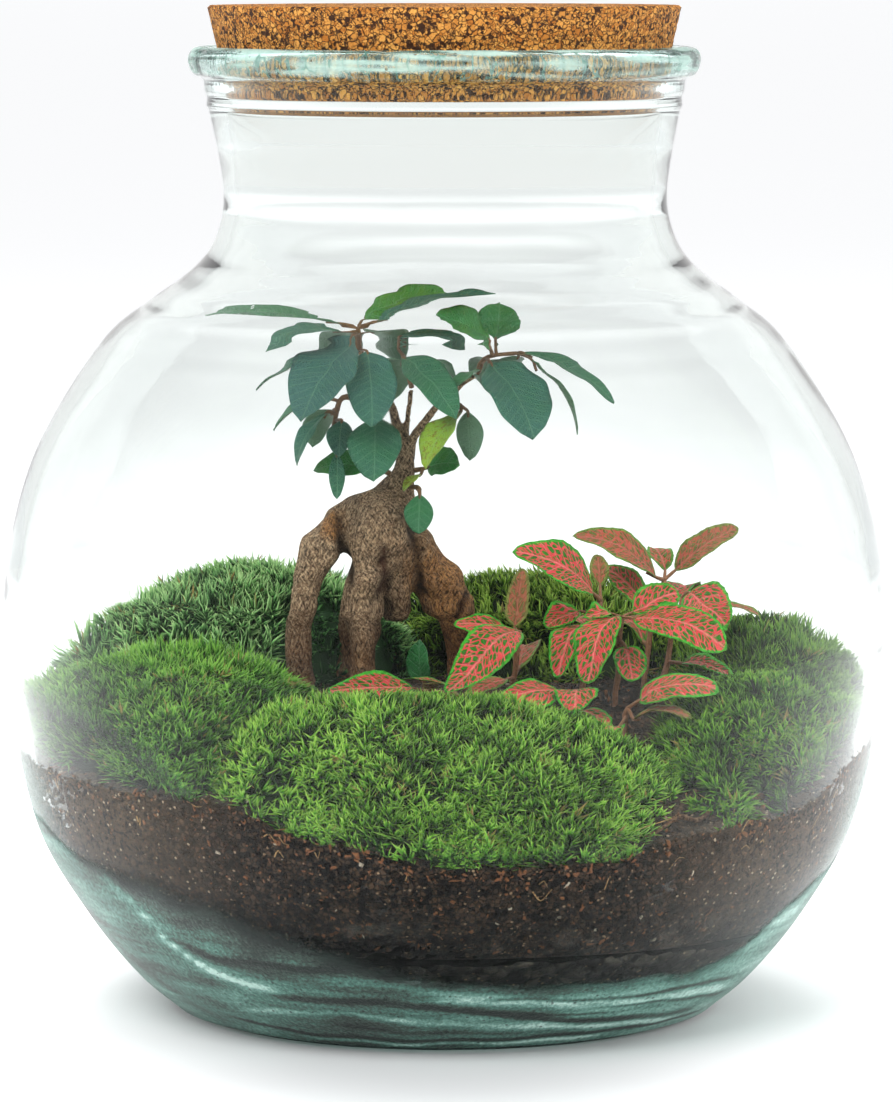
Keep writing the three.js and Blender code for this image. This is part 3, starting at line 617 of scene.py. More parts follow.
class Bench:
    """Places nodes in one node tree and links them."""

    def __init__(self, tree: bpy.types.NodeTree) -> None:
        """Takes the tree to work on."""
        self.tree = tree

    def feed(self, socket: bpy.types.NodeSocket, value: Value) -> None:
        """Links a socket to what another node gives, or sets its value."""
        if isinstance(value, Signal):
            self.tree.links.new(value.socket, socket)
        else:
            socket.default_value = value

    def add(
        self, kind: str, inputs: dict[str | int, Value] | None = None, **settings: object
    ) -> bpy.types.Node:
        """Adds a node.

        Args:
            kind: The node's type, without its leading "ShaderNode".
            inputs: What its sockets take, by name or place.
            **settings: The node's own settings.

        Returns:
            The node.
        """
        node = self.tree.nodes.new("ShaderNode" + kind)
        for name, setting in settings.items():
            setattr(node, name, setting)
        for key, value in (inputs or {}).items():
            self.feed(node.inputs[key], value)
        return node

    def give(
        self, kind: str, inputs: dict[str | int, Value], output: str | int = 0, **settings: object
    ) -> Signal:
        """Adds a node as `add` does, and gives one of its outputs, by name or place."""
        return Signal(self, self.add(kind, inputs, **settings).outputs[output])

    def calc(self, operation: str, *values: Value) -> Signal:
        """Adds a Math node over one to three values."""
        return self.give("Math", dict(enumerate(values)), operation=operation)

    def bend(self, operation: str, vector: Value, other: Value) -> Signal:
        """Adds a Vector Math node over two vectors, or over a vector and its scale."""
        key = "Scale" if operation == "SCALE" else 1
        return self.give("VectorMath", {0: vector, key: other}, operation=operation)

    def step(self, value: Value, low: Value, high: Value) -> Signal:
        """Rises smoothly from 0 at `low` to 1 at `high`."""
        inputs = {"Value": value, "From Min": low, "From Max": high}
        return self.give("MapRange", inputs, interpolation_type="SMOOTHSTEP")

    def blend(self, share: Value, first: Value, second: Value) -> Signal:
        """Mixes two colours: the second one's share is `share`."""
        return self.give("Mix", {0: share, 6: first, 7: second}, 2, data_type="RGBA")

    def ramp(self, value: Value, *stops: tuple[float, Point]) -> Signal:
        """Adds a colour ramp with the given stops."""
        node = self.add("ValToRGB", {"Fac": value})
        points = node.color_ramp.elements
        while len(points) < len(stops):
            points.new(0.5)
        for point, (position, colour) in zip(points, stops):
            point.position, point.color = position, colour
        return Signal(self, node.outputs["Color"])

    def noise(self, place: Value, scale: Value, detail: float = 3, roughness: float = 0.55) -> Signal:
        """Adds cloud noise around 0.5."""
        inputs = {"Vector": place, "Scale": scale, "Detail": detail, "Roughness": roughness}
        return self.give("TexNoise", inputs)

    def cells(self, place: Value, scale: Value) -> tuple[Signal, Signal]:
        """Fills space with cells: gives the distance from a cell's middle, and the cell's own colour."""
        outputs = self.add("TexVoronoi", {"Vector": place, "Scale": scale}).outputs
        return Signal(self, outputs["Distance"]), Signal(self, outputs["Color"])

    def borders(self, place: Value, scale: Value) -> Signal:
        """Gives the distance from the border of the cells that `cells` makes."""
        inputs = {"Vector": place, "Scale": scale}
        return self.give("TexVoronoi", inputs, "Distance", feature="DISTANCE_TO_EDGE")

    def channel(self, colour: Value, number: int) -> Signal:
        """Gives a colour's red (0), green (1) or blue (2)."""
        return self.give("SeparateColor", {0: colour}, number)

    def split(self, vector: Value) -> tuple[Signal, ...]:
        """Gives a vector's three parts."""
        return tuple(Signal(self, part) for part in self.add("SeparateXYZ", {0: vector}).outputs)

    def attribute(self, name: str, output: str = "Fac") -> Signal:
        """Reads a value that the mesh holds for each point."""
        return self.give("Attribute", {}, output, attribute_name=name)

    def place(self) -> Signal:
        """Reads the place on the part, in metres."""
        return self.give("TexCoord", {}, "Object")

    def bump(self, height: Value, distance: float) -> Signal:
        """Turns a height between 0 and 1 into a surface normal; `distance` is in millimetres."""
        return self.give("Bump", {"Height": height, "Distance": distance * MM, "Strength": 1.0})

    def use(self, group: bpy.types.NodeTree, inputs: dict[str, Value]) -> dict[str, Signal]:
        """Places a node group, and gives its outputs by name."""
        node = self.tree.nodes.new("ShaderNodeGroup")
        node.node_tree = group
        for key, value in inputs.items():
            self.feed(node.inputs[key], value)
        return {output.name: Signal(self, output) for output in node.outputs}


class SurfaceEffect:
    """A node group with named inputs and outputs, built once and used by several finishes."""

    SOCKETS = {"Vector": "NodeSocketVector", "Float": "NodeSocketFloat", "Color": "NodeSocketColor"}

    def __init__(self, name: str, inputs: dict[str, str], outputs: dict[str, str]) -> None:
        """Opens the group.

        Args:
            name: The group's name.
            inputs: Its inputs and their kinds.
            outputs: Its outputs and their kinds.
        """
        self.tree = bpy.data.node_groups.new(name, "ShaderNodeTree")
        for direction, sockets in (("INPUT", inputs), ("OUTPUT", outputs)):
            for label, kind in sockets.items():
                self.tree.interface.new_socket(name=label, in_out=direction, socket_type=self.SOCKETS[kind])
        self.bench = Bench(self.tree)
        given = self.tree.nodes.new("NodeGroupInput").outputs
        self.given = {label: Signal(self.bench, given[label]) for label in inputs}
        self.result = self.tree.nodes.new("NodeGroupOutput").inputs

    def put(self, **results: Value) -> bpy.types.NodeTree:
        """Links the group's outputs and gives the group."""
        for label, value in results.items():
            self.bench.feed(self.result[label], value)
        return self.tree


def granule_effect() -> bpy.types.NodeTree:
    """Packed grains of two tones, some of them dark, with dark cracks between them."""
    effect = SurfaceEffect(
        "packed_granules",
        {
            "Place": "Vector", "Fineness": "Float", "Pale": "Color", "Deep": "Color", "Dark": "Color",
            "Dark Share": "Float", "Crack": "Float",
        },
        {"Color": "Color", "Height": "Float"},
    )
    bench, given, fineness = effect.bench, effect.given, effect.given["Fineness"]
    cloud = bench.give("TexNoise", {"Vector": given["Place"], "Scale": fineness * 0.9}, "Color")
    shift = bench.bend("SCALE", bench.bend("SUBTRACT", cloud, (0.5, 0.5, 0.5)), 0.9 / fineness)
    place = bench.bend("ADD", given["Place"], shift)
    _, own = bench.cells(place, fineness)
    fine = bench.noise(given["Place"], fineness * 5.0, 4, 0.65)
    colour = bench.blend(bench.channel(own, 0) * 0.7 + fine * 0.45, given["Pale"], given["Deep"])
    colour = bench.blend(bench.channel(own, 1) > 1.0 - given["Dark Share"], colour, given["Dark"])
    solid = bench.step(bench.borders(place, fineness), 0.0, given["Crack"])
    bulge = solid * (bench.channel(own, 2) * 0.35 + 0.5)
    return effect.put(Color=bench.blend(solid, given["Dark"], colour), Height=bulge + fine * 0.3)


def streak_effect() -> bpy.types.NodeTree:
    """Fibres drawn out along the third axis."""
    effect = SurfaceEffect(
        "drawn_fibres",
        {"Place": "Vector", "Fineness": "Float", "Stretch": "Float"},
        {"Streak": "Float", "Height": "Float"},
    )
    bench, given = effect.bench, effect.given
    squash = bench.give("CombineXYZ", {0: 1.0, 1: 1.0, 2: 1.0 / given["Stretch"]})
    drawn = bench.bend("MULTIPLY", given["Place"], squash)
    broad = bench.noise(drawn, given["Fineness"], 6, 0.68)
    fine = bench.noise(drawn, given["Fineness"] * 3.3, 3, 0.6)
    both = broad * 0.6 + fine * 0.4
    return effect.put(Streak=bench.step(both, 0.36, 0.64), Height=both)


def mottle_effect() -> bpy.types.NodeTree:
    """Soft patches of more and less of something."""
    inputs = {"Place": "Vector", "Fineness": "Float", "Contrast": "Float"}
    effect = SurfaceEffect("soft_mottle", inputs, {"Patch": "Float"})
    bench, given = effect.bench, effect.given
    cloud = bench.noise(given["Place"], given["Fineness"], 4, 0.6)
    return effect.put(Patch=(cloud - 0.5) * given["Contrast"] + 0.5)


def vein_effect() -> bpy.types.NodeTree:
    """The veins of a leaf, from a place on it as (across, along, the leaf's number) in millimetres."""
    effect = SurfaceEffect(
        "leaf_veins",
        {
            "Place": "Vector", "Midrib": "Float", "Spacing": "Float", "Slant": "Float", "Rib": "Float",
            "Net": "Float", "Net Width": "Float",
        },
        {"Ribs": "Float", "Mesh": "Float", "Height": "Float"},
    )
    bench, given = effect.bench, effect.given
    across, along, number = bench.split(given["Place"])
    wander = (bench.noise(given["Place"], 0.35) - 0.5) * 1.6
    distance = bench.calc("ABSOLUTE", across)
    run = along - distance * given["Slant"] + wander
    off = bench.calc("PINGPONG", run, given["Spacing"] * 0.5)
    side_ribs = 1.0 - bench.step(off, 0.0, given["Rib"])
    midrib = 1.0 - bench.step(distance, 0.0, given["Midrib"])
    ribs = bench.calc("MAXIMUM", midrib, side_ribs * 0.75)
    edge = bench.borders(bench.give("CombineXYZ", {0: across, 1: run * 0.85, 2: number}), given["Net"])
    island = bench.step(edge, given["Net Width"] * 0.55, given["Net Width"])
    return effect.put(Ribs=ribs, Mesh=1.0 - island, Height=bench.step(edge, 0.0, 0.45) - ribs * 0.8)


@dataclass(frozen=True)
class Effects:
    """The shader effects that the finishes share."""

    granules: bpy.types.NodeTree
    streaks: bpy.types.NodeTree
    mottle: bpy.types.NodeTree
    veins: bpy.types.NodeTree

    @classmethod
    def build(cls) -> Effects:
        """Builds each effect once."""
        return cls(granule_effect(), streak_effect(), mottle_effect(), vein_effect())


class Surface:
    """A material in the making: its bench, its main shader and its output."""

    def __init__(self, name: str) -> None:
        """Opens the material."""
        self.material = bpy.data.materials.new(name)
        self.material.use_nodes = True
        self.material.node_tree.nodes.clear()
        self.bench = Bench(self.material.node_tree)
        self.shader = self.bench.add("BsdfPrincipled")
        self.shaded = Signal(self.bench, self.shader.outputs[0])
        self.output = self.bench.add("OutputMaterial", {"Surface": self.shaded})

    def paint(self, inputs: dict[str, Value]) -> bpy.types.Material:
        """Feeds the main shader's sockets, by name, and gives the material."""
        for key, value in inputs.items():
            self.bench.feed(self.shader.inputs[key], value)
        return self.material


# ---------------------------------------------------------------- finishes


@dataclass(frozen=True)
class JarGlassFinish:
    """Clear recycled glass: sea-green where it is thick, with a faint bloom inside."""

    tint: Colour = (0.0, 0.69, 0.5, 1.0)
    depth: float = 7.0
    wall: Colour = (0.955, 0.955, 0.95, 1.0)
    rim: Colour = (0.88, 0.96, 0.95, 1.0)
    shadow: Colour = (0.97, 0.99, 0.985, 1.0)
    sheen: Colour = (0.2, 0.2, 0.2, 1.0)
    refraction: float = 1.5

    def relief(self, bench: Bench, rim: Signal) -> Signal:
        """Gives the height of its waves and seeds and of the upright ridges on its rim."""
        place = bench.place()
        distance, own = bench.cells(place, 95.0)
        seeds = (1.0 - bench.step(distance, 0.02, 0.075)) * ((bench.channel(own, 0) > 0.9) * 0.5)
        ridges = bench.noise(bench.bend("MULTIPLY", place, (1.0, 1.0, 0.15)), 420.0, 3) * (rim * 3.0)
        return bench.noise(place, 60.0, 2) + seeds + ridges

    def material(self, effects: Effects) -> bpy.types.Material:
        """Builds the material; light and shade pass straight through it."""
        surface = Surface("jar_glass")
        bench, place = surface.bench, surface.bench.place()
        rim = bench.step(bench.split(place)[2], 0.2695, 0.2745)
        patch = bench.use(effects.mottle, {"Place": place, "Fineness": 22.0, "Contrast": 1.6})["Patch"]
        surface.paint({
            "Base Color": bench.blend(rim, self.wall, self.rim),
            "Transmission Weight": 1.0,
            "IOR": self.refraction,
            "Specular Tint": self.sheen,
            "Roughness": bench.step(patch, 0.62, 1.0) * 0.08,
            "Normal": bench.bump(self.relief(bench, rim), 0.02),
        })
        rays = bench.add("LightPath").outputs
        shadow, diffuse = (Signal(bench, rays[kind]) for kind in ("Is Shadow Ray", "Is Diffuse Ray"))
        clear = bench.give("BsdfTransparent", {"Color": self.shadow})
        passing = bench.calc("MAXIMUM", shadow, diffuse)
        both = bench.give("MixShader", {0: passing, 1: surface.shaded, 2: clear})
        body = bench.give("VolumeAbsorption", {"Color": self.tint, "Density": self.depth})
        bench.feed(surface.output.inputs["Surface"], both)
        bench.feed(surface.output.inputs["Volume"], body)
        return surface.material


@dataclass(frozen=True)
class GlassLightVeilFinish:
    """A thin green-grey veil under a glassy skin, with dark specks, streaked round the jar with painted bands
    of the light and shade that the thick glass bends.
    """

    black: Colour = screen(22, 34, 30)
    murk: Colour = screen(52, 70, 62)
    middle: Colour = screen(74, 118, 106)
    clear: Colour = screen(118, 162, 150)
    pale: Colour = screen(190, 222, 212)

    def ticks(self, bench: Bench) -> Signal:
        """Gives the short upright marks in the painted highlight on the rim."""
        upright = bench.bend("MULTIPLY", bench.place(), (1.0, 1.0, 0.12))
        off = bench.calc("ABSOLUTE", bench.noise(upright, 150.0, 2) - 0.5)
        height = bench.split(bench.place())[2]
        return bench.step(off, 0.014, 0.003) * bench.step(height, 0.2745, 0.276)

    def material(self, effects: Effects) -> bpy.types.Material:
        """Builds the material; `veil` is how thick it lies and `tone` how pale its painted light is."""
        surface = Surface("glass_painted_light")
        bench, place = surface.bench, surface.bench.place()
        band = bench.noise(bench.bend("MULTIPLY", place, (1.0, 1.0, 9.0)), 26.0, 6, 0.62)
        fine = bench.noise(place, 900.0, 3, 0.7)
        tone = bench.attribute("tone") + (band - 0.5) * 1.3 + (fine - 0.5) * 0.8
        colour = bench.ramp(
            tone,
            (0.0, self.black), (0.25, self.murk), (0.5, self.middle), (0.75, self.clear), (1.0, self.pale),
        )
        distance, own = bench.cells(place, 620.0)
        specks = (distance < 0.3) * (bench.channel(own, 0) > 0.84)
        colour = bench.blend(specks * 0.7, colour, self.black)
        # Short upright marks that break up the rim's painted highlight.
        ticks = self.ticks(bench)
        return surface.paint({
            "Base Color": bench.blend(ticks * 0.8, colour, self.middle),
            "Roughness": 0.3,
            "Alpha": bench.attribute("veil") * (fine * 0.6 + 0.7) + ticks * 0.5,
            "Normal": bench.bump(band + fine, 0.3),
        })


@dataclass(frozen=True)
class CorkFinish:
    """Pressed cork: warm tan granules with dark crumbs of bark between them."""

    pale: Colour = screen(232, 170, 84)
    deep: Colour = screen(166, 94, 22)
    dark: Colour = screen(52, 26, 8)

    def material(self, effects: Effects) -> bpy.types.Material:
        """Builds the material from coarse and fine granules."""
        surface = Surface("pressed_cork")
        bench, place = surface.bench, surface.bench.place()
        tones = {"Place": place, "Pale": self.pale, "Deep": self.deep, "Dark": self.dark}
        coarse = bench.use(effects.granules, {**tones, "Fineness": 560.0, "Dark Share": 0.14, "Crack": 0.15})
        fine = bench.use(effects.granules, {**tones, "Fineness": 1150.0, "Dark Share": 0.26, "Crack": 0.16})
        share = bench.step(bench.noise(place, 520.0, 2), 0.42, 0.58)
        return surface.paint({
            "Base Color": bench.blend(share, coarse["Color"], fine["Color"]),
            "Roughness": 0.82,
            "Normal": bench.bump(coarse["Height"] + fine["Height"] * 0.5, 0.25),
        })


@dataclass(frozen=True)
class EarthFinish:
    """Moist crumbly earth or grit: dark grains, with a few rusty and a few white ones."""

    name: str
    fineness: float
    pale: Colour
    deep: Colour
    dark: Colour = screen(14, 10, 8)
    fleck: Colour = screen(168, 138, 108)
    dust: Colour = screen(212, 190, 162)
    # Colour of the painted highlight on the clods' crowns.
    clod_highlight: Colour = screen(98, 88, 80)
    rust: Colour = screen(164, 104, 66)
    chalk: Colour = screen(205, 190, 168)

    def crumbs(self, bench: Bench, colour: Signal) -> Signal:
        """Turns some loose crumbs rusty or white, by their own numbers."""
        number = bench.attribute("crumb")
        colour = bench.blend(bench.step(number, 0.88, 0.92) * 0.7, colour, self.rust)
        return bench.blend(number > 0.992, colour, self.chalk)

    def paler_sides(self, bench: Bench, colour: Signal) -> Signal:
        """Adds flecks, and makes the earth paler, with darker patches, at the jar's left and right."""
        place = bench.place()
        # Share of the jar's left and right, where the earth is drawn paler with darker patches.
        dry = bench.step(bench.calc("ABSOLUTE", bench.split(place)[0]), 0.045, 0.1)
        colour = bench.blend(dry * 0.22, colour, self.fleck)
        shadow = bench.step(bench.noise(place, 620.0, 3, 0.65), 0.49, 0.4)
        colour = bench.blend(dry * shadow, colour, self.dark)
        distance, own = bench.cells(place, 760.0)
        flecks = (bench.channel(own, 1) > 0.9) * (distance < 0.34)
        return bench.blend(flecks * 0.75, colour, bench.blend(dry, self.fleck, self.dust))

    def clods(self, bench: Bench, colour: Signal) -> tuple[Signal, Signal]:
        """Draws the lowest earth as clods, with painted shade between them and a painted highlight on their
        crowns.

        Args:
            bench: The material's bench.
            colour: The earth's colour so far.

        Returns:
            Its colour with the clods, and how far they stand out.
        """
        place = bench.place()
        low = bench.step(bench.split(place)[2] + bench.noise(place, 70.0, 2) * 0.016, 0.057, 0.045)
        cloud = bench.give("TexNoise", {"Vector": place, "Scale": 240.0, "Detail": 3.0}, "Color")
        distance, own = bench.cells(bench.bend("ADD", place, bench.bend("SCALE", cloud, 0.009)), 150.0)
        crown = bench.step(distance, 0.75, 0.25)
        # Painted shade in the gaps between the clods.
        colour = bench.blend(low * (0.7 - crown), colour, self.dark)
        # A painted highlight on the clods' crowns.
        lit = low * (crown * bench.step(bench.channel(own, 0), 0.35, 0.9))
        return bench.blend(lit * 0.45, colour, self.clod_highlight), low * crown

    def material(self, effects: Effects) -> bpy.types.Material:
        """Builds the material from its grains up."""
        surface = Surface(self.name)
        bench, place = surface.bench, surface.bench.place()
        tones = {"Pale": self.pale, "Deep": self.deep, "Dark": self.dark}
        sizes = {"Fineness": self.fineness, "Dark Share": 0.3, "Crack": 0.2}
        grain = bench.use(effects.granules, {"Place": place, **tones, **sizes})
        colour, crown = self.clods(bench, self.paler_sides(bench, self.crumbs(bench, grain["Color"])))
        patch = bench.use(effects.mottle, {"Place": place, "Fineness": 120.0, "Contrast": 1.2})["Patch"]
        return surface.paint({
            "Base Color": colour,
            "Roughness": patch * 0.4 + 0.5,
            "Normal": bench.bump(grain["Height"] + crown * 3.0, 0.5),
        })


@dataclass(frozen=True)
class MossFinish:
    """Living moss: dark at the root, fresh green along the blade and pale at its tip."""

    name: str
    root: Colour
    body: Colour
    tip: Colour
    dry: Colour = screen(150, 128, 72)

    def material(self, effects: Effects) -> bpy.types.Material:
        """Builds the material; `along` runs from root to tip, and `tint` is the shoot's own, lowered as
        painted shade under the trunk.
        """
        surface = Surface(self.name)
        bench, place = surface.bench, surface.bench.place()
        along, tint = bench.attribute("along"), bench.attribute("tint")
        lush = bench.ramp(along, (0.0, self.root), (0.18, self.root), (0.55, self.body), (1.0, self.tip))
        shaded = bench.ramp(along, (0.0, self.root), (0.6, self.root), (1.0, self.body))
        colour = bench.blend(bench.step(tint, 0.1, 0.75), shaded, lush)
        dead = bench.step(tint, 0.93, 0.97) * bench.step(along, 0.2, 0.7)
        colour = bench.blend(dead, colour, self.dry)
        patch = bench.use(effects.mottle, {"Place": place, "Fineness": 60.0, "Contrast": 1.1})["Patch"]
        return surface.paint({
            "Base Color": bench.blend(patch * 0.22, colour, self.root),
            "Roughness": 0.55,
            "Specular IOR Level": 0.35,
            "Normal": bench.bump(bench.noise(place, 900.0, 2), 0.05),
        })


@dataclass(frozen=True)
class BarkFinish:
    """Rough grey-brown bark drawn out in fibres, more orange where `warmth` is high, with painted highlights
    and painted shade.
    """

    name: str = "ficus_bark"
    pale: Colour = screen(218, 184, 152)
    deep: Colour = screen(138, 104, 78)
    warm: Colour = screen(214, 138, 70)
    dark: Colour = screen(36, 22, 15)
    # Colours of the painted highlight on raised fibres.
    lit: Colour = screen(246, 214, 176)
    lit_warm: Colour = screen(236, 164, 88)
    # Colour of the reddish painted shade in some folds.
    red: Colour = screen(74, 26, 16)
    # Colour of the painted shade towards the foot of the roots, near the soil.
    root: Colour = screen(88, 50, 26)
    fineness: float = 0.8

    def fibres(self, bench: Bench, lean: float) -> Signal:
        """Gives fine upright fibres that lean to one side by an angle in radians."""
        turned = bench.give("VectorRotate", {"Vector": bench.place(), "Angle": lean}, rotation_type="Y_AXIS")
        return bench.noise(bench.bend("MULTIPLY", turned, (1.0, 1.0, 0.28)), 1900.0, 3, 0.65)

    def furred(self, bench: Bench, colour: Signal, warmth: Signal, low: Signal) -> Signal:
        """Covers the bark with crossing fibres, a painted highlight on the raised ones and painted shade on
        the sunk ones.

        Args:
            bench: The material's bench.
            colour: The bark's colour so far.
            warmth: How orange it is at each place.
            low: How far each place belongs to the foot of a root.

        Returns:
            Its colour with the fibres.
        """
        leaning, crossing = self.fibres(bench, 0.65), self.fibres(bench, -0.5)
        lit = bench.blend(bench.calc("MINIMUM", warmth, 0.9), self.lit, self.lit_warm)
        raised = bench.step(bench.calc("MAXIMUM", leaning, crossing), 0.55, 0.62)
        # Painted highlight on raised fibres, weaker towards the foot of the roots.
        colour = bench.blend(raised * (0.85 - low * 0.6), colour, lit)
        # Painted shade on sunk fibres.
        sunk = bench.step(bench.calc("MINIMUM", leaning, crossing), 0.44, 0.37)
        return bench.blend(sunk * 0.85, colour, self.dark)

    def material(self, effects: Effects) -> bpy.types.Material:
        """Builds the material from the mesh's own grain direction, warmth, and the painted shade of its
        hollows, reddish where `rust` is high.
        """
        surface = Surface(self.name)
        bench, place = surface.bench, surface.bench.place()
        grain = bench.attribute("grain", "Vector")
        streak = bench.use(effects.streaks, {"Place": grain, "Fineness": self.fineness, "Stretch": 3.5})
        flake = bench.use(effects.streaks, {"Place": grain, "Fineness": 0.75, "Stretch": 0.35})
        patch = bench.use(effects.mottle, {"Place": grain, "Fineness": 0.12, "Contrast": 2.2})["Patch"]
        tones = {"Pale": self.pale, "Deep": self.deep, "Dark": self.dark}
        sizes = {"Fineness": 1500.0, "Dark Share": 0.12, "Crack": 0.12}
        scales = bench.use(effects.granules, {"Place": place, **tones, **sizes})
        warmth = bench.attribute("warmth") * (patch + 0.35)
        low = bench.step(bench.split(place)[2] + patch * 0.016, 0.136, 0.112)
        colour = bench.blend(streak["Streak"], self.deep, self.pale)
        colour = bench.blend(bench.calc("MINIMUM", warmth, 0.8), colour, self.warm)
        colour = bench.blend(bench.step(patch, 0.5, 0.1) * 0.5, colour, self.deep)
        colour = bench.blend(0.4, colour, scales["Color"])
        colour = bench.blend(bench.step(flake["Height"], 0.5, 0.4) * 0.7, colour, self.dark)
        # Painted shade towards the foot of the roots, near the soil.
        colour = bench.blend(low * 0.72, colour, self.root)
        colour = self.furred(bench, colour, warmth, low)
        # Painted shade in folds and hollows, reddish where `rust` is high.
        hollow = bench.blend(bench.attribute("rust"), self.dark, self.red)
        return surface.paint({
            "Base Color": bench.blend(bench.attribute("hollow") * 0.85, colour, hollow),
            "Roughness": 0.78,
            "Normal": bench.bump(streak["Height"] + flake["Height"] + scales["Height"] * 0.5, 1.3),
        })


@dataclass(frozen=True)
class FicusLeafFinish:
    """A smooth leathery leaf: blue-green when old, yellow-green when young."""

    old: Colour = screen(52, 90, 84)
    middle: Colour = screen(44, 112, 48)
    young: Colour = screen(156, 178, 52)
    rib: Colour = screen(130, 168, 134)
    under: Colour = screen(120, 146, 122)
    spot: Colour = screen(112, 74, 26)

    def material(self, effects: Effects) -> bpy.types.Material:
        """Builds the material from the leaf's own places and shade."""
        surface = Surface("ficus_leaf")
        bench, spot = surface.bench, surface.bench.attribute("leaf_place", "Vector")
        ribs = {"Midrib": 0.42, "Spacing": 2.3, "Slant": 0.75, "Rib": 0.3, "Net": 1.5, "Net Width": 0.1}
        veins = bench.use(effects.veins, {"Place": spot, **ribs})
        patch = bench.use(effects.mottle, {"Place": spot, "Fineness": 0.16, "Contrast": 1.5})["Patch"]
        shade = bench.attribute("shade") + patch * 0.16
        colour = bench.ramp(shade - 0.08, (0.0, self.old), (0.5, self.middle), (1.0, self.young))
        colour = bench.blend(veins["Ribs"] * 0.24, colour, self.rib)
        colour = bench.blend(bench.step(bench.noise(spot, 3.6, 2), 0.54, 0.68) * 0.26, colour, self.rib)
        rot = bench.step(bench.noise(spot, 0.8, 4, 0.7), 0.54, 0.6) * bench.step(shade, 0.62, 0.9)
        colour = bench.blend(rot * 0.7, colour, self.spot)
        return surface.paint({
            "Base Color": bench.blend((1.0 - bench.attribute("face_up")) * 0.5, colour, self.under),
            "Roughness": patch * 0.16 + 0.34,
            "Normal": bench.bump(veins["Height"], 0.16),
        })


@dataclass(frozen=True)
class NerveLeafFinish:
    """A nerve plant's leaf: a coral-red net of veins over green, inside a bright green margin."""

    island: Colour = screen(46, 112, 24)
    net: Colour = screen(198, 48, 54)
    rib: Colour = screen(234, 116, 112)
    margin: Colour = screen(66, 160, 44)
    faded: Colour = screen(136, 100, 66)

    def material(self, effects: Effects) -> bpy.types.Material:
        """Builds the material from the leaf's own places, margin and shade."""
        surface = Surface("nerve_leaf")
        bench, spot = surface.bench, surface.bench.attribute("leaf_place", "Vector")
        ribs = {"Midrib": 0.65, "Spacing": 2.9, "Slant": 0.9, "Rib": 0.42, "Net": 0.66, "Net Width": 0.14}
        veins = bench.use(effects.veins, {"Place": spot, **ribs})
        cloud = bench.use(effects.mottle, {"Place": spot, "Fineness": 0.3, "Contrast": 2.2})["Patch"]
        net = bench.blend(cloud * 0.35, self.net, self.rib)
        colour = bench.blend(veins["Mesh"], self.island, net)
        colour = bench.blend(veins["Ribs"] * 0.85, colour, self.rib)
        rim = 1.0 - bench.step(bench.attribute("margin") - cloud * 0.5, 0.3, 0.85)
        colour = bench.blend(rim, colour, self.margin)
        colour = bench.blend(bench.step(bench.attribute("shade"), 0.25, 1.0) * 0.7, colour, self.faded)
        return surface.paint({
            "Base Color": bench.blend((1.0 - bench.attribute("face_up")) * 0.55, colour, self.faded),
            "Roughness": 0.5,
            "Normal": bench.bump(veins["Height"], 0.45),
        })


@dataclass(frozen=True)
class StalkFinish:
    """A soft stalk, streaked along its length."""

    name: str
    pale: Colour
    deep: Colour
    roughness: float = 0.5

    def material(self, effects: Effects) -> bpy.types.Material:
        """Builds the material from fibres along the stalk."""
        surface = Surface(self.name)
        bench, spot = surface.bench, surface.bench.attribute("leaf_place", "Vector")
        streak = bench.use(effects.streaks, {"Place": spot, "Fineness": 1.6, "Stretch": 2.4})
        return surface.paint({
            "Base Color": bench.blend(streak["Streak"], self.deep, self.pale),
            "Roughness": self.roughness,
            "Normal": bench.bump(streak["Height"], 0.25),
        })


@dataclass(frozen=True)
class FloorFinish:
    """A plain pale studio floor that glows softly round the jar and behind it as painted light, but is darker
    and does not glow close to the jar's foot, as a painted shadow.
    """

    colour: Colour = (0.8, 0.805, 0.81, 1.0)
    worn: Colour = (0.7, 0.7, 0.7, 1.0)
    # The floor's painted shadow round the jar's foot.
    near: Colour = (0.6, 0.61, 0.615, 1.0)
    # Strength of the floor's painted light.
    glow: float = 0.36

    def material(self, effects: Effects) -> bpy.types.Material:
        """Builds the material."""
        surface = Surface("studio_floor")
        bench, place = surface.bench, surface.bench.place()
        patch = bench.use(effects.mottle, {"Place": place, "Fineness": 3.0, "Contrast": 0.3})["Patch"]
        shade = bench.blend(patch * 0.04, self.colour, self.worn)
        oval = bench.bend("MULTIPLY", place, (1.8, 0.8, 1.0))
        reach = bench.give("VectorMath", {0: oval}, "Value", operation="LENGTH")
        # Painted light: none close to the jar, less in front of it.
        share = bench.step(bench.split(place)[1], -1.0, -0.3) * bench.step(reach, 0.08, 0.23)
        return surface.paint({
            # Painted shadow round the jar's foot.
            "Base Color": bench.blend(bench.step(reach, 0.23, 0.09), shade, self.near),
            "Roughness": 0.9,
            "Specular IOR Level": 0.1,
            "Emission Color": bench.ramp(share, (0.0, (0, 0, 0, 1)), (1.0, (1, 1, 1, 1))),
            "Emission Strength": self.glow,
        })


# ---------------------------------------------------------------- jar and stopper


def turned(outline: np.ndarray, segments: int) -> tuple[np.ndarray, list[np.ndarray]]:
    """A body turned about the jar's axis.

    Args:
        outline: Its outline as rows of (radius, height), from the axis round to the axis.
        segments: How many facets go round it.

    Returns:
        Its points and faces.
    """
    angles = np.arange(segments) * TAU / segments
    radii = np.maximum(outline[:, :1], 0.3)
    heights = np.repeat(outline[:, 1:], segments, axis=1)
    points = np.stack([radii * np.cos(angles), radii * np.sin(angles), heights], axis=2)
    return points.reshape(-1, 3), ring_faces(len(outline), segments)


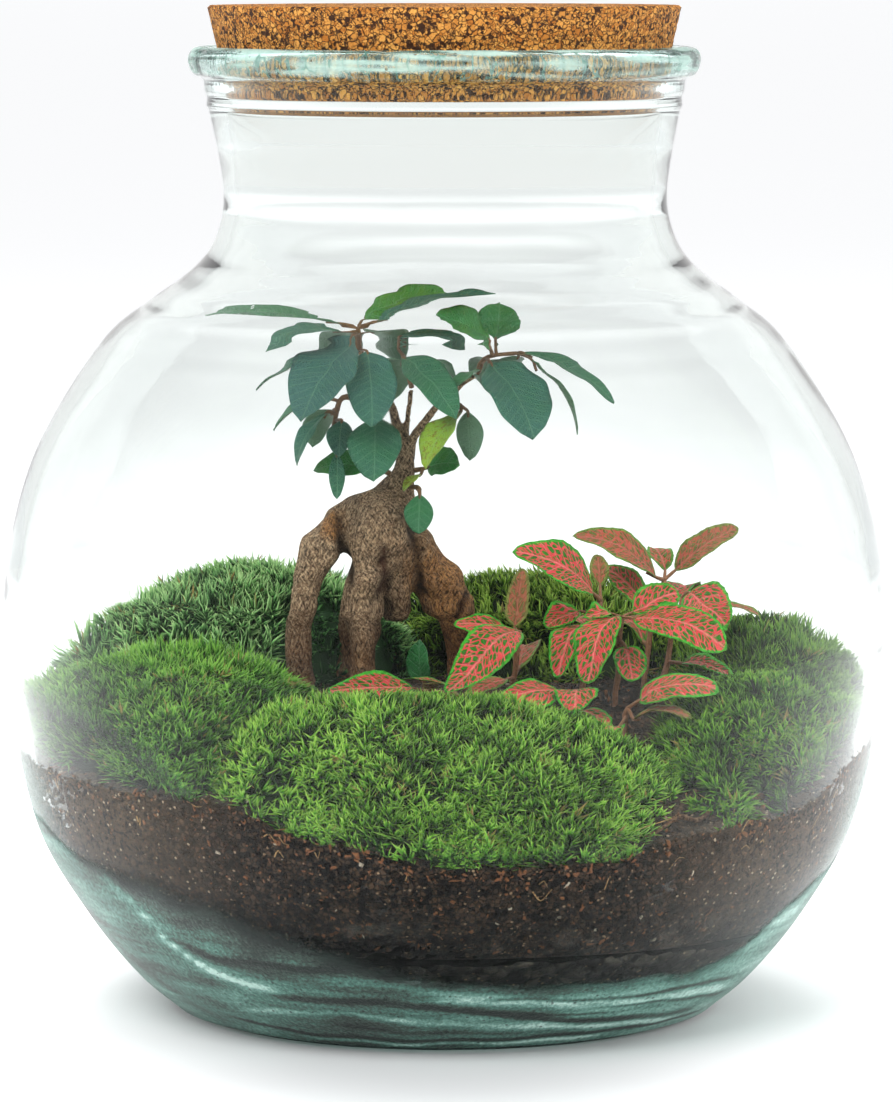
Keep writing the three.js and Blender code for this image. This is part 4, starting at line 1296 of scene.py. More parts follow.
@dataclass
class GlassJar:
    """The bellied jar, blown a little unevenly, with a rolled rim and a thick base."""

    segments: int = 186
    shimmer: float = 0.02
    base_rings: float = 0.3
    seed: int = 3

    def outline(self) -> tuple[np.ndarray, int]:
        """The wall's outline, from under the foot, up the outside and down the inside.

        Returns:
            The outline, and the row where its inside starts.
        """
        wall = smooth_curve(OUTER_WALL, 0.5)
        outside = [
            smooth_curve(FOOT_UNDERSIDE, 2.0),
            np.asarray(FOOT_EDGE, float),
            wall[wall[:, 1] < 256][::3],
            wall[wall[:, 1] >= 256],
            smooth_curve(COLLAR[:-1], 0.7),
        ]
        inside = [np.linspace(COLLAR[-2], COLLAR[-1], 10), INNER_CURVE, smooth_curve(INNER_FLOOR, 2.0)]
        joined = np.vstack(outside + inside)
        step = np.linalg.norm(np.diff(joined, axis=0), axis=1)
        keep = np.concatenate([[True], step > 0.05])
        return joined[keep], int(keep[: sum(len(part) for part in outside)].sum())

    def build(self, finish: bpy.types.Material) -> None:
        """Makes the jar in the place of its solid."""
        outline, turn_over = self.outline()
        points, faces = turned(outline, self.segments)
        inside = (np.arange(len(points)) >= turn_over * self.segments).astype(float)
        reach = np.hypot(points[:, 0], points[:, 1])
        outwards = points * (1, 1, 0) / np.maximum(reach, 1)[:, None]
        ball = unit(points - (0, 0, BELLY_HEIGHT)) * 131
        height = points[:, 2].copy()
        shared = blown(points)
        lone = Ripple(17, self.seed + 1).at(ball) * self.shimmer * fade(height, 4, 40)
        points = points + outwards * (shared + lone * (1 - inside))[:, None]
        angle = np.arctan2(points[:, 1], points[:, 0])
        travelled = reach * 0.9 - height * 0.9
        band = np.column_stack([30 * np.cos(angle), 30 * np.sin(angle), travelled])
        rings = (1 + Ripple(15, self.seed + 2, (2.2, 2.2, 0.8)).at(band)) * fade(height, 50, 30)
        points = points + outwards * (rings * self.base_rings * inside)[:, None]
        points[:, 2] -= rings * self.base_rings * inside * fade(height, 34, 26) * fade(reach, 4, 20)
        bead = fade(height, 273, 277) * (1 - inside)
        ridge = 0.4 * np.exp(-(((height - 266.6) / 0.7) ** 2))
        ridge = ridge - 0.35 * np.exp(-(((height - 269.2) / 0.9) ** 2))
        points = points + outwards * (ridge * (1 - inside))[:, None]
        nicks = np.abs(Ripple(11, self.seed + 4, (1, 1, 4)).at(points)) ** 3
        points = points - outwards * (np.minimum(nicks, 1.5) * 0.14 * bead)[:, None]
        points[:, 2] -= np.minimum(nicks, 1.5) * 0.2 * fade(height, 280, 283)
        draft = Draft()
        draft.add(points, faces)
        settle(draft.build("jar_blown_glass", [finish]), "jar_glass", "jar")


@dataclass(frozen=True)
class PaintedLightStreak:
    """A painted streak on the veil over the base, pale for painted light and dark for painted shade: its
    course as (azimuth, height), its half-width and how much paler it is.
    """

    course: tuple[tuple[float, float], ...]
    width: float
    tone: float

    def at(self, azimuth: np.ndarray, height: np.ndarray) -> np.ndarray:
        """Gives its tone at each place on the wall."""
        angles, heights = np.asarray(self.course, float).T
        off = (height - np.interp(azimuth, angles, heights)) / self.width
        ends = fade(azimuth, angles[0] - 3, angles[0] + 5) * fade(azimuth, angles[-1] + 3, angles[-1] - 5)
        return self.tone * np.exp(-(off**2)) * ends


# Painted bands of light and shade that the thick base of the glass bends, round the front of the jar.
PAINTED_LIGHT_STREAKS = (
    PaintedLightStreak(
        ((211, 55), (216, 47), (220, 40), (222.5, 32), (228, 24.5), (236, 20.5), (243, 18),
        (252, 16.5)), 3.2, 0.2,
    ),
    PaintedLightStreak(((219, 42), (222, 33), (225, 28), (229, 24), (236, 20.3), (243, 18)), 1.0, 0.5),
    PaintedLightStreak(((211, 55), (215, 48), (219, 42)), 3.0, 0.2),
    PaintedLightStreak(
        ((224, 32), (232, 28), (240, 27.5), (250, 28.5), (260, 30), (271, 26.5), (281, 24)), 1.2, -0.5,
    ),
    PaintedLightStreak(
        ((252, 24.5), (259, 23.5), (271, 20.5), (283, 17.5), (294, 16), (303, 14.8), (318, 13.5),
        (330, 13)), 1.7, 0.34,
    ),
    PaintedLightStreak(
        ((240, 17), (258, 17.2), (268, 16.7), (275, 15.4), (284, 12.5), (295, 9.8), (305, 9.0),
        (326, 7)), 1.1, -0.62,
    ),
    PaintedLightStreak(((233, 11.6), (253, 13.2), (271, 11), (281, 9.6), (297, 7.2), (320, 6.4)), 1.0, 0.42),
    PaintedLightStreak(((250, 8.8), (271, 7.4), (285, 6.6)), 0.8, -0.35),
    PaintedLightStreak(
        ((226, 7.1), (236, 5.8), (244, 4.6), (258, 4.8), (272, 4.3), (291, 4.6), (304, 4.7),
        (332, 5.2)), 0.45, -1.0,
    ),
    PaintedLightStreak(((240, 3.4), (272, 2.9), (304, 3.3)), 0.5, 0.5),
    PaintedLightStreak(((275, 19), (292, 17.8), (310, 16.3), (330, 16)), 0.45, -0.45),
    PaintedLightStreak(((276, 14.2), (292, 12.6), (303, 12)), 0.4, -0.55),
    PaintedLightStreak(((298, 14.4), (309, 13.4), (320, 11.6), (332, 10.6)), 0.45, -0.6),
    PaintedLightStreak(((284, 10.6), (292, 9.2)), 0.5, 0.45),
    PaintedLightStreak(((196, 60.5), (209, 54.6), (218, 52.3), (226, 50.8), (233, 48), (242, 44)), 1.1, -0.5),
    PaintedLightStreak(((188, 34), (202, 24), (211, 13), (222, 5)), 2.6, -0.2),
    PaintedLightStreak(((330, 30), (336, 34), (344, 41)), 3.0, 0.2),
)


@dataclass
class GlassLightVeil:
    """A veil over the jar's base, higher on one side, and over its rim, painted with the light and shade that
    the thick glass bends and reflects: bands on the base, a pale painted reflection at its left and right,
    and pale painted highlights on the rim.
    """

    segments: int = 196
    line: tuple[tuple[float, float], ...] = (
        (0, 46), (60, 46), (120, 50), (160, 56), (180, 59), (198, 60), (209, 54), (218, 52), (226, 50.5),
        (233, 47.5), (239, 44), (246, 38), (252, 33), (258, 31), (264, 27.5), (270, 24), (285, 22),
        (300, 21), (312, 21), (320, 23), (325, 26), (331, 35), (340, 43), (350, 47), (360, 46),
    )
    ground: tuple[tuple[float, float], ...] = (
        (0, 0.58), (90, 0.5), (180, 0.5), (206, 0.5), (222, 0.42), (236, 0.34), (252, 0.33), (275, 0.42),
        (300, 0.54), (320, 0.64), (340, 0.64), (360, 0.58),
    )
    murk: tuple[tuple[float, float], ...] = (
        (0, 1), (204, 1), (212, 5), (220, 11), (228, 18), (238, 18), (246, 13),
        (256, 8), (266, 3), (280, 1), (360, 1),
    )
    seed: int = 71

    def base(self, points: np.ndarray) -> tuple[np.ndarray, np.ndarray]:
        """Gives the veil's cover and painted tone at each place on the base, with a pale painted reflection
        at its left and right.
        """
        azimuth = np.degrees(np.arctan2(points[:, 1], points[:, 0])) % 360
        height = points[:, 2]
        drift = Ripple(26, self.seed).at(points)
        line = np.interp(azimuth, *np.asarray(self.line, float).T) + 0.8 * drift
        murk = np.interp(azimuth, *np.asarray(self.murk, float).T)
        veil = fade(height, line + 2, line - 2 - 0.45 * murk)
        tone = np.interp(azimuth, *np.asarray(self.ground, float).T) + 0.05 * drift
        tone -= 0.36 * fade(line - height, murk, 0.25 * murk) * fade(murk, 0.5, 6)
        tone += sum(streak.at(azimuth, height + 0.5 * drift) for streak in PAINTED_LIGHT_STREAKS)
        side = fade(azimuth, 212, 190) * fade(azimuth, 148, 178)
        side = side + fade(azimuth, 334, 352) + fade(azimuth, 32, 2)
        # A pale painted reflection at the jar's left and right, above the veil.
        side_reflection = (0.24 + 0.05 * drift) * side * fade(height, 88, 68) * (1 - veil)
        return veil + side_reflection, tone + (1.0 - tone) * side_reflection / np.maximum(veil + side_reflection, 0.01)

    def build(self, finish: bpy.types.Material) -> None:
        """Makes the film, just clear of the glass."""
        skin = smooth_curve(OUTER_WALL, 0.5)
        skin = skin[skin[:, 1] < 94][::-1]
        collar = smooth_curve(COLLAR[:7], 0.5)[::-1]
        draft = Draft()
        for side, near, far in ((skin, -0.16, -0.08), (collar, -0.2, -0.1)):
            away = unit(np.gradient(side, axis=0))
            away = np.column_stack([away[:, 1], -away[:, 0]])
            outline = np.vstack([(side + away * near)[::-1], side + away * far])
            points, faces = turned(outline, self.segments)
            first, last = faces[1][0, ::-1], faces[2][0]
            faces = [faces[0], np.stack([last, np.roll(last, -1), np.roll(first, -1), first], axis=1)]
            if side is collar:
                # Pale painted highlights streaked round the rim.
                streaks = Ripple(2.6, self.seed + 2, (9, 9, 1)).at(points)
                streaks = streaks + 0.6 * Ripple(14, self.seed + 3).at(points)
                veil = fade(points[:, 2], 274.5, 278.5) * (0.1 + 0.42 * fade(streaks, -0.5, 1.3))
                tone = 1.0 + 0.24 * streaks
            else:
                veil, tone = self.base(points)
                veil *= 0.92
                reach = np.hypot(points[:, 0], points[:, 1])[:, None]
                points = points + points * (1, 1, 0) / np.maximum(reach, 1) * blown(points)[:, None]
            draft.add(points, faces, veil=veil, tone=tone)
        settle(draft.build("jar_base_painted_light", [finish]), "jar_glass")


@dataclass
class CorkStopper:
    """The wide pressed-cork stopper, with broken granules at its edges."""

    bottom: float = 269.5
    top: float = 295.8
    bottom_radius: float = 63.8
    top_radius: float = 69.4
    segments: int = 420
    relief: float = 0.32

    def build(self, finish: bpy.types.Material) -> None:
        """Makes the stopper in the place of its solid."""
        edge = 0.7
        outline = np.vstack([
            np.linspace((0, self.bottom), (self.bottom_radius - edge, self.bottom), 30),
            np.linspace((self.bottom_radius, self.bottom + edge), (self.top_radius, self.top - edge), 26),
            np.linspace((self.top_radius - edge, self.top), (0, self.top), 60),
        ])
        points, faces = turned(outline, self.segments)
        inwards = unit(np.array([0, 0, (self.top + self.bottom) / 2]) - points)
        depth = grains(points, 2.3, 5)
        fine = grains(points, 1.0, 9)
        pits = (1 - fade(depth, 0.0, 0.2)) + 0.5 * (1 - fade(fine, 0.0, 0.25))
        draft = Draft()
        draft.add(points + inwards * (pits * self.relief)[:, None], faces)
        settle(draft.build("cork_stopper_granules", [finish]), "cork", "cork_stopper")


# ---------------------------------------------------------------- ground


@dataclass
class Ground:
    """The soil and the coarse grit under it, with loose crumbs against the glass."""

    segments: int = 400
    crumbs: int = 15000
    seed: int = 11

    def soil(self, finish: bpy.types.Material) -> None:
        """Makes the body of soil, with its surface broken up."""
        angles = np.arange(self.segments) * TAU / self.segments
        rim = rim_height(angles)
        rows = []
        for share in np.linspace(0.01, 1, 90):
            radius = share * (glass_radius(rim) - GLASS_GAP - 0.4)
            x, y = radius * np.cos(angles), radius * np.sin(angles)
            rows.append(np.stack([x, y, soil_height(x, y)], axis=1))
        top = len(rows)
        for share in np.linspace(1, 0, 46)[1:]:
            z = SOIL_BOTTOM - 0.8 + (rim - SOIL_BOTTOM + 0.8) * share
            radius = glass_radius(z) - GLASS_GAP - 0.4 + pressed(z)
            rows.append(np.stack([radius * np.cos(angles), radius * np.sin(angles), z], axis=1))
        for share in (0.9, 0.6, 0.3, 0.01):
            rows.append(rows[-1] * (share, share, 0) + (0, 0, SOIL_BOTTOM - 1))
        points = np.vstack(rows)
        level = np.repeat(np.arange(len(rows)), self.segments)
        coarse = grains(points, 3.4, self.seed)
        fine = grains(points, 1.5, self.seed + 1)
        hollow = 1.3 * (1 - fade(coarse, 0, 0.5)) + 0.6 * (1 - fade(fine, 0, 0.5))
        reach = np.hypot(points[:, 0], points[:, 1])
        outwards = points * (1, 1, 0) / np.maximum(reach, 1)[:, None]
        side = fade(level, top - 3, top + 1)[:, None]
        hollow *= 0.5 - 0.08 * side[:, 0]
        points = points - outwards * side * hollow[:, None]
        points = points - (1 - side) * np.array([0, 0, 1]) * hollow[:, None]
        draft = Draft()
        draft.add(points, ring_faces(len(rows), self.segments), crumb=0.0)
        settle(draft.build("soil_mass", [finish]), "soil", "soil")

    def loose_crumbs(self, finish: bpy.types.Material) -> None:
        """Makes the loose crumbs that lie against the glass and on the open soil."""
        rng = np.random.default_rng(self.seed)
        count = self.crumbs
        angle = rng.uniform(0, TAU, count)
        rim = rim_height(angle)
        low = rng.uniform(0, 1, count) ** 0.9
        size = 0.62 * rng.lognormal(0, 0.42, count) * (1 + 1.1 * fade(1 - low, 0.7, 1))
        z = SOIL_BOTTOM + 1.5 + (rim - SOIL_BOTTOM - 1.2) * low
        radius = glass_radius(z) - GLASS_GAP - size * 0.75 + pressed(z)
        lying = rng.uniform(size=count) < 0.3
        spread = np.sqrt(rng.uniform(0.05, 1, count)) * (glass_radius(rim) - 2)
        radius = np.where(lying, spread, radius)
        x, y = radius * np.cos(angle), radius * np.sin(angle)
        z = np.where(lying, soil_height(x, y) + size * 0.2, z)
        centres = np.stack([x, y, z], axis=1)
        corners = np.array([(1, 0, 0), (-1, 0, 0), (0, 1, 0), (0, -1, 0), (0, 0, 1), (0, 0, -1)], float)
        turn = unit(rng.normal(size=(count, 3, 3)))
        size = size * np.where((low > 0.86) & ~lying, 1.35, 1.0)
        lumps = np.einsum("ij,njk->nik", corners, turn) * rng.uniform(0.55, 1.15, (count, 6, 1))
        points = centres[:, None] + lumps * size[:, None, None]
        points = points.reshape(-1, 3)
        points = inside_glass(points, GLASS_GAP - 0.1 - pressed(points[:, 2]))
        triangles = np.array(
            [(0, 2, 4), (2, 1, 4), (1, 3, 4), (3, 0, 4), (2, 0, 5), (1, 2, 5), (3, 1, 5), (0, 3, 5)]
        )
        handed = np.sign(np.linalg.det(turn)) > 0
        faces = np.where(handed[:, None, None], triangles, triangles[:, ::-1])
        faces = faces + np.arange(count)[:, None, None] * 6
        number = rng.uniform(0, 1, count)
        number = np.repeat(np.where((low > 0.86) & (number > 0.6), 0.9 + 0.09 * number, number), 6)
        spread_map = np.stack(
            [number * 0.94 + rng.uniform(0, 0.05, len(number)), rng.uniform(0, 1, len(number))], 1
        )
        draft = Draft()
        draft.add(points, [faces.reshape(-1, 3)], crumb=number, bake_map=spread_map)
        settle(draft.build("soil_crumbs", [finish]), "soil")

    def grit(self, finish: bpy.types.Material) -> None:
        """Makes the coarse grit in the bowl under the soil."""
        wall = INNER_CURVE[INNER_CURVE[:, 1] < GRIT_TOP - 0.6]
        floor = smooth_curve(INNER_FLOOR, 2.0)
        outline = np.vstack([
            np.linspace((0, GRIT_TOP), (glass_radius(GRIT_TOP) - 0.4, GRIT_TOP), 40),
            wall + (0.7, -0.7),
            floor[1:] + (0, -0.7),
        ])
        points, faces = turned(outline, 240)
        depth = grains(points, 6.0, self.seed + 7)
        inwards = unit(np.array([0, 0, 29.0]) - points)
        draft = Draft()
        draft.add(points + inwards * (1.3 * (1 - fade(depth, 0, 0.4)))[:, None], faces, crumb=0.0)
        settle(draft.build("drainage_grit", [finish]), "grit", "drainage_layer")


@dataclass
class Litter:
    """What lies on the soil: the bark chip, the bent root fibre, straws and dry needles."""

    chip_azimuth: float = 322
    chip_from_axis: float = 111
    fibre: tuple[Point, ...] = ((50, -102), (55, -99), (60, -97.4), (65, -93), (70, -90), (74, -85))
    seed: int = 21

    def chip(self, finish: bpy.types.Material) -> None:
        """Makes the chip of bark, split along its grain."""
        angle = math.radians(self.chip_azimuth)
        x, y = self.chip_from_axis * math.cos(angle), self.chip_from_axis * math.sin(angle)
        z = float(soil_height(np.array([x]), np.array([y]))[0])
        outline = np.array([
            (-3.5, -1), (-2, -1.4), (0.4, -1.7), (2.4, -1.3), (3.5, -0.7), (2.9, 1.4),
            (0.6, 1.1), (-0.7, 1.7), (-2.8, 1.0),
        ])
        rings = []
        for lift, share in ((-0.2, 0.9), (0.3, 1.0), (1.2, 0.96), (1.8, 0.78)):
            rings.append(np.column_stack([outline * share, np.full(len(outline), lift)]))
        points = np.vstack(rings)
        points[:, 2] += 0.25 * Ripple(2, self.seed).at(points)
        grain = points[:, [1, 2, 0]]
        turn = Matrix.Rotation(math.radians(50), 3, "Z")
        points = points @ np.array(turn).T + (x, y, z + 0.2)
        draft = Draft()
        draft.add(points, ring_faces(4, len(outline)), grain=grain, warmth=1.0, hollow=0.0)
        settle(draft.build("bark_chip_split", [finish]), "bark", "bark_chip")

    def root_fibre(self, finish: bpy.types.Material) -> None:
        """Makes the bent root fibre, flat and frayed."""
        path = smooth_curve(self.fibre, 0.8)
        z = soil_height(path[:, 0], path[:, 1]) + 0.6
        line = np.column_stack([path, z])
        width = 0.62 + 0.18 * Ripple(5, self.seed).at(line)
        points, faces = tube(inside_glass(line, 2.0), width, 8)
        along = np.repeat(np.arange(len(line)) * 0.8, 8)
        grain = np.column_stack([points[:, 0], points[:, 2], along])
        draft = Draft()
        draft.add(points, faces, grain=grain, warmth=0.5, hollow=0.0)
        settle(draft.build("root_fibre_frayed", [finish]), "bark", "root_fibre")

    def straws(self, finish: bpy.types.Material) -> None:
        """Scatters thin straws and dry needles over the soil that the moss leaves open."""
        rng = np.random.default_rng(self.seed)
        draft = Draft()
        loop = ((50.5, -101.5, 2.2), (57, -98.5, 3.6), (64, -94.5, 1.2))
        for k in range(150):
            if k == 0:
                spots = np.array(loop)
                spots[:, 2] += soil_height(spots[:, 0], spots[:, 1])
            else:
                angle, length = rng.uniform(0, TAU), rng.uniform(2, 7)
                reach = rng.uniform(0.62, 0.97) * float(glass_radius(rim_height(np.array([angle])))[0])
                centre = np.array([math.cos(angle), math.sin(angle), 0]) * reach
                lean = np.append(unit(rng.normal(size=2)) * length / 2, 0)
                side = np.cross(lean, (0, 0, 1)) * rng.uniform(-0.3, 0.3)
                spots = np.array([centre - lean, centre + side, centre + lean])
                spots[:, 2] = soil_height(spots[:, 0], spots[:, 1]) + rng.uniform(0, 1.4, 3)
                if k % 3 == 0:
                    turns = angle + np.array([-0.5, 0, 0.5]) * length / 118 * rng.uniform(0.3, 1)
                    level = rim_height(turns) - rng.uniform(0, 9) + rng.uniform(-2.2, 2.2, 3)
                    reach = glass_radius(level) + 0.95
                    spots = np.column_stack([reach * np.cos(turns), reach * np.sin(turns), level])
            line = inside_glass(smooth_curve(spots, 1.2), -1.0 if k % 3 == 0 else 0.9)
            thickness = rng.uniform(0.13, 0.28)
            points, faces = tube(line, thickness * np.linspace(1, 0.4, len(line)), 5)
            along = np.repeat(np.arange(len(line)) * 1.2, 5)
            place = np.column_stack([points[:, 0], points[:, 2], along])
            draft.add(points, faces, leaf_place=place)
        settle(draft.build("straw_litter", [finish]), "bark")


# ---------------------------------------------------------------- moss


def bare(x: np.ndarray, y: np.ndarray) -> np.ndarray:
    """How bare of moss the ground is, and how deep the painted shade on the moss left there: 1 under the
    trunk, 0 away from it.
    """
    return fade(np.hypot((x + 20) / 31, (y - 20) / 25), 1.15, 0.85)


def nook(x: np.ndarray, y: np.ndarray) -> np.ndarray:
    """Share of a cushion's height that is left at each place: none of it in front of the bark chip."""
    return 1 - fade(np.abs(x - 89), 10, 4) * fade(y, -61, -68)


@dataclass
class MossCushion:
    """A cushion of moss: a dome of earth and old growth, thick with curved shoots."""

    node: str
    centre: tuple[float, float]
    half: tuple[float, float]
    turn: float
    crown: float
    seed: int
    spacing: float = 2.5
    blades: int = 10
    length: float = 7.2
    sunk: float = 4.2

    def share(self, x: np.ndarray, y: np.ndarray) -> np.ndarray:
        """How far each place is from the cushion's middle (0) to its edge (1)."""
        cos, sin = math.cos(math.radians(self.turn)), math.sin(math.radians(self.turn))
        u = ((x - self.centre[0]) * cos + (y - self.centre[1]) * sin) / self.half[0]
        v = ((y - self.centre[1]) * cos - (x - self.centre[0]) * sin) / self.half[1]
        angle = np.arctan2(v, u)
        return np.hypot(u, v) / (1 + 0.05 * np.sin(3 * angle + self.centre[0]) + 0.03 * np.sin(7 * angle))

    def height(self, x: np.ndarray, y: np.ndarray) -> np.ndarray:
        """Height of the cushion's crown of shoots at each place."""
        share = np.clip(self.share(x, y), 0, 0.999)
        lumps = 1.3 * np.sin(x * 0.31 + self.seed) * np.sin(y * 0.37 + 1) * (1 - share)
        return soil_height(x, y) + (self.crown * (1 - share**2.3) ** 0.62 + lumps) * nook(x, y) - 1.5

    def slope(self, x: np.ndarray, y: np.ndarray) -> np.ndarray:
        """Direction straight out of the cushion at each place."""
        dx = (self.height(x + 0.8, y) - self.height(x - 0.8, y)) / 1.6
        dy = (self.height(x, y + 0.8) - self.height(x, y - 0.8)) / 1.6
        steep = np.maximum(1, np.hypot(dx, dy) / 2.2)
        return unit(np.stack([-dx / steep, -dy / steep, np.ones_like(dx)], axis=1))

    def spots(self, others: Sequence[MossCushion], rng: np.random.Generator) -> np.ndarray:
        """Draws the places where shoots stand.

        Args:
            others: The cushions that take the ground before this one.
            rng: The draw.

        Returns:
            The places as rows of (x, y).
        """
        area = math.pi * self.half[0] * self.half[1]
        count = int(3.2 * area / self.spacing**2)
        angle, reach = rng.uniform(0, TAU, count), np.sqrt(rng.uniform(0, 1, count)) * 1.08
        u, v = reach * self.half[0] * np.cos(angle), reach * self.half[1] * np.sin(angle)
        cos, sin = math.cos(math.radians(self.turn)), math.sin(math.radians(self.turn))
        x = self.centre[0] + u * cos - v * sin
        y = self.centre[1] + u * sin + v * cos
        keep = rng.uniform(0, 3.2, count) < 1 / self.slope(x, y)[:, 2] * 1.15
        keep &= (self.share(x, y) < 1) & (nook(x, y) > 0.3) & (rng.uniform(size=count) > 0.6 * bare(x, y))
        height = self.height(x, y)
        keep &= np.hypot(x, y) < glass_radius(height) + 1.5
        for other in others:
            keep &= (other.share(x, y) > 0.96) | (other.height(x, y) < height - 1)
        return np.stack([x, y], axis=1)[keep]

    def face(self, rng: np.random.Generator) -> tuple[np.ndarray, np.ndarray]:
        """Draws roots on the cushion's side where the glass cuts it off.

        Args:
            rng: The draw.

        Returns:
            The roots, and the directions in which their shoots grow.
        """
        count = 6000
        angle, level = rng.uniform(0, TAU, count), rng.uniform(0, 1, count)
        heading = np.stack([np.cos(angle), np.sin(angle)], axis=1)
        x, y = (heading * (glass_radius(rim_height(angle)) - 5)[:, None]).T
        low, high = soil_height(x, y) - 1, self.height(x, y) - self.sunk
        room = np.where(self.share(x, y) < 0.97, np.maximum(high - low, 0), 0)
        keep = rng.uniform(size=count) < 120 * TAU * room / (count * self.spacing**2) * 1.2
        keep &= nook(x, y) > 0.3
        z = (low + level * (high - low))[keep]
        heading = heading[keep]
        roots = np.column_stack([heading * (glass_radius(z) - 4.8)[:, None], z])
        return roots, unit(np.column_stack([heading * 0.55, np.full(len(z), 0.8)]))

    def mound(self, draft: Draft) -> None:
        """Adds the dome under the shoots."""
        sectors, rows = 110, []
        angles = np.arange(sectors) * TAU / sectors
        edge = 1 + 0.05 * np.sin(3 * angles + self.centre[0]) + 0.03 * np.sin(7 * angles)
        cos, sin = math.cos(math.radians(self.turn)), math.sin(math.radians(self.turn))
        for share in np.linspace(0.02, 0.93, 30):
            u, v = self.half[0] * share * edge * np.cos(angles), self.half[1] * share * edge * np.sin(angles)
            x, y = self.centre[0] + u * cos - v * sin, self.centre[1] + u * sin + v * cos
            z = np.maximum(self.height(x, y) - self.sunk, soil_height(x, y) - 4)
            rows.append(np.stack([x, y, z], axis=1))
        rows.append(rows[-1] - (0, 0, 5))
        points = inside_glass(np.vstack(rows), 4.5)
        points[:, 2] += 0.5 * Ripple(4, self.seed).at(points)
        place = (points[:, :2] - points[:, :2].min(axis=0)) / 140 * (0.9, 0.02)
        draft.add(points, ring_faces(len(rows), sectors), along=0.0, tint=0.3, bake_map=place)

    def fur(self, draft: Draft, others: Sequence[MossCushion]) -> None:
        """Adds the shoots: tufts of blades that fan out and bend over.

        Args:
            draft: The mesh to add to.
            others: The cushions that take the ground before this one.
        """
        rng = np.random.default_rng(self.seed)
        spots = self.spots(others, rng)
        out = self.slope(spots[:, 0], spots[:, 1])
        z = self.height(spots[:, 0], spots[:, 1]) - self.sunk
        roots, growth = self.face(rng)
        roots, out = np.vstack([np.column_stack([spots, z]), roots]), np.vstack([out, growth])
        lean = np.stack([Ripple(26, self.seed + k).at(roots) for k in (1, 2, 3)], axis=1)
        axis = unit(out + (0, 0, 0.35) + 0.45 * lean + rng.normal(0, 0.2, roots.shape))
        drawn = rng.normal(0, 0.16, len(roots))
        tint = np.clip(0.5 + 0.2 * Ripple(17, self.seed + 5).at(roots) + drawn, 0, 0.9)
        tint = np.where(rng.uniform(size=len(roots)) < 0.025, 1.0, tint)
        bare_and_shaded = bare(roots[:, 0], roots[:, 1])
        # Painted shade on the shoots under the trunk; they are also fewer and shorter there.
        tint = tint * (1 - 0.95 * bare_and_shaded)
        count = len(roots) * self.blades
        root, axis = np.repeat(roots, self.blades, axis=0), np.repeat(axis, self.blades, axis=0)
        tint = np.clip(np.repeat(tint, self.blades) + rng.normal(0, 0.05, count), 0, 1)
        side = unit(np.cross(axis, rng.normal(size=(count, 3))))
        level = np.tile(np.linspace(0, 1, self.blades), len(roots))[:, None]
        spread = np.tan(0.95 - 0.75 * level + rng.normal(0, 0.08, (count, 1)))
        heading = unit(axis + side * spread)
        length = self.length * rng.uniform(0.55, 0.95, (count, 1)) * (1 - 0.25 * level)
        length = length * (1 - 0.5 * np.repeat(bare_and_shaded, self.blades)[:, None])
        root = root + axis * level * self.length * 0.5 + side * 0.2
        bend = side * rng.uniform(0.0, 0.35, (count, 1)) + (0, 0, -0.08) + rng.normal(0, 0.1, (count, 3))
        width = rng.uniform(0.28, 0.46, count)[:, None]
        across = unit(np.cross(heading, side))
        deep = unit(np.cross(across, heading))
        rings = []
        for t, share in ((0.0, 0.8), (0.5, 1.0)):
            centre = root + length * (heading * t + bend * t * t)
            for a, b in ((1, 0), (-1, 0), (0, 0.5)):
                rings.append(centre + width * share * (across * a + deep * b))
        rings.append(root + length * (heading + bend))
        points = inside_glass(np.stack(rings, axis=1).reshape(-1, 3), 0.6)
        step = np.arange(count)[:, None, None] * 7
        quads = np.array([(0, 1, 4, 3), (1, 2, 5, 4), (2, 0, 3, 5)]) + step
        tips = np.array([(3, 4, 6), (4, 5, 6), (5, 3, 6), (0, 2, 1)]) + step
        along = np.tile((0.05, 0.05, 0.05, 0.6, 0.6, 0.6, 1.0), count)
        each = np.repeat(tint, 7)
        nudge = np.tile((0, 0.012, 0.006, 0, 0.012, 0.006, 0.006), count)
        place = np.column_stack([each * 0.98 + nudge, 0.03 + along * 0.96])
        draft.add(points, [quads.reshape(-1, 4), tips.reshape(-1, 3)], along=along, tint=each, bake_map=place)

    def build(self, finish: bpy.types.Material, others: Sequence[MossCushion]) -> None:
        """Makes the cushion in the place of its solid."""
        draft = Draft()
        self.mound(draft)
        self.fur(draft, others)
        settle(draft.build(self.node + "_shoots", [finish]), "moss", self.node)


MOSS = (
    MossCushion("moss_front", (-1, -83), (65, 39), 0, 20, 31),
    MossCushion("moss_front_left", (-87, -46), (47, 53), 14, 26, 32, length=7.8),
    MossCushion("moss_back_left", (-63, 45), (57, 37), 20, 30, 33, spacing=2.6, length=8.2),
    MossCushion("moss_right_front", (94, -48), (33, 40), -22, 19, 34),
    MossCushion("moss_right_back", (100, 12), (31, 40), 6, 22, 35),
    MossCushion("moss_back", (30, 72), (56, 34), -8, 25, 36, spacing=2.8),
)


# ---------------------------------------------------------------- ficus


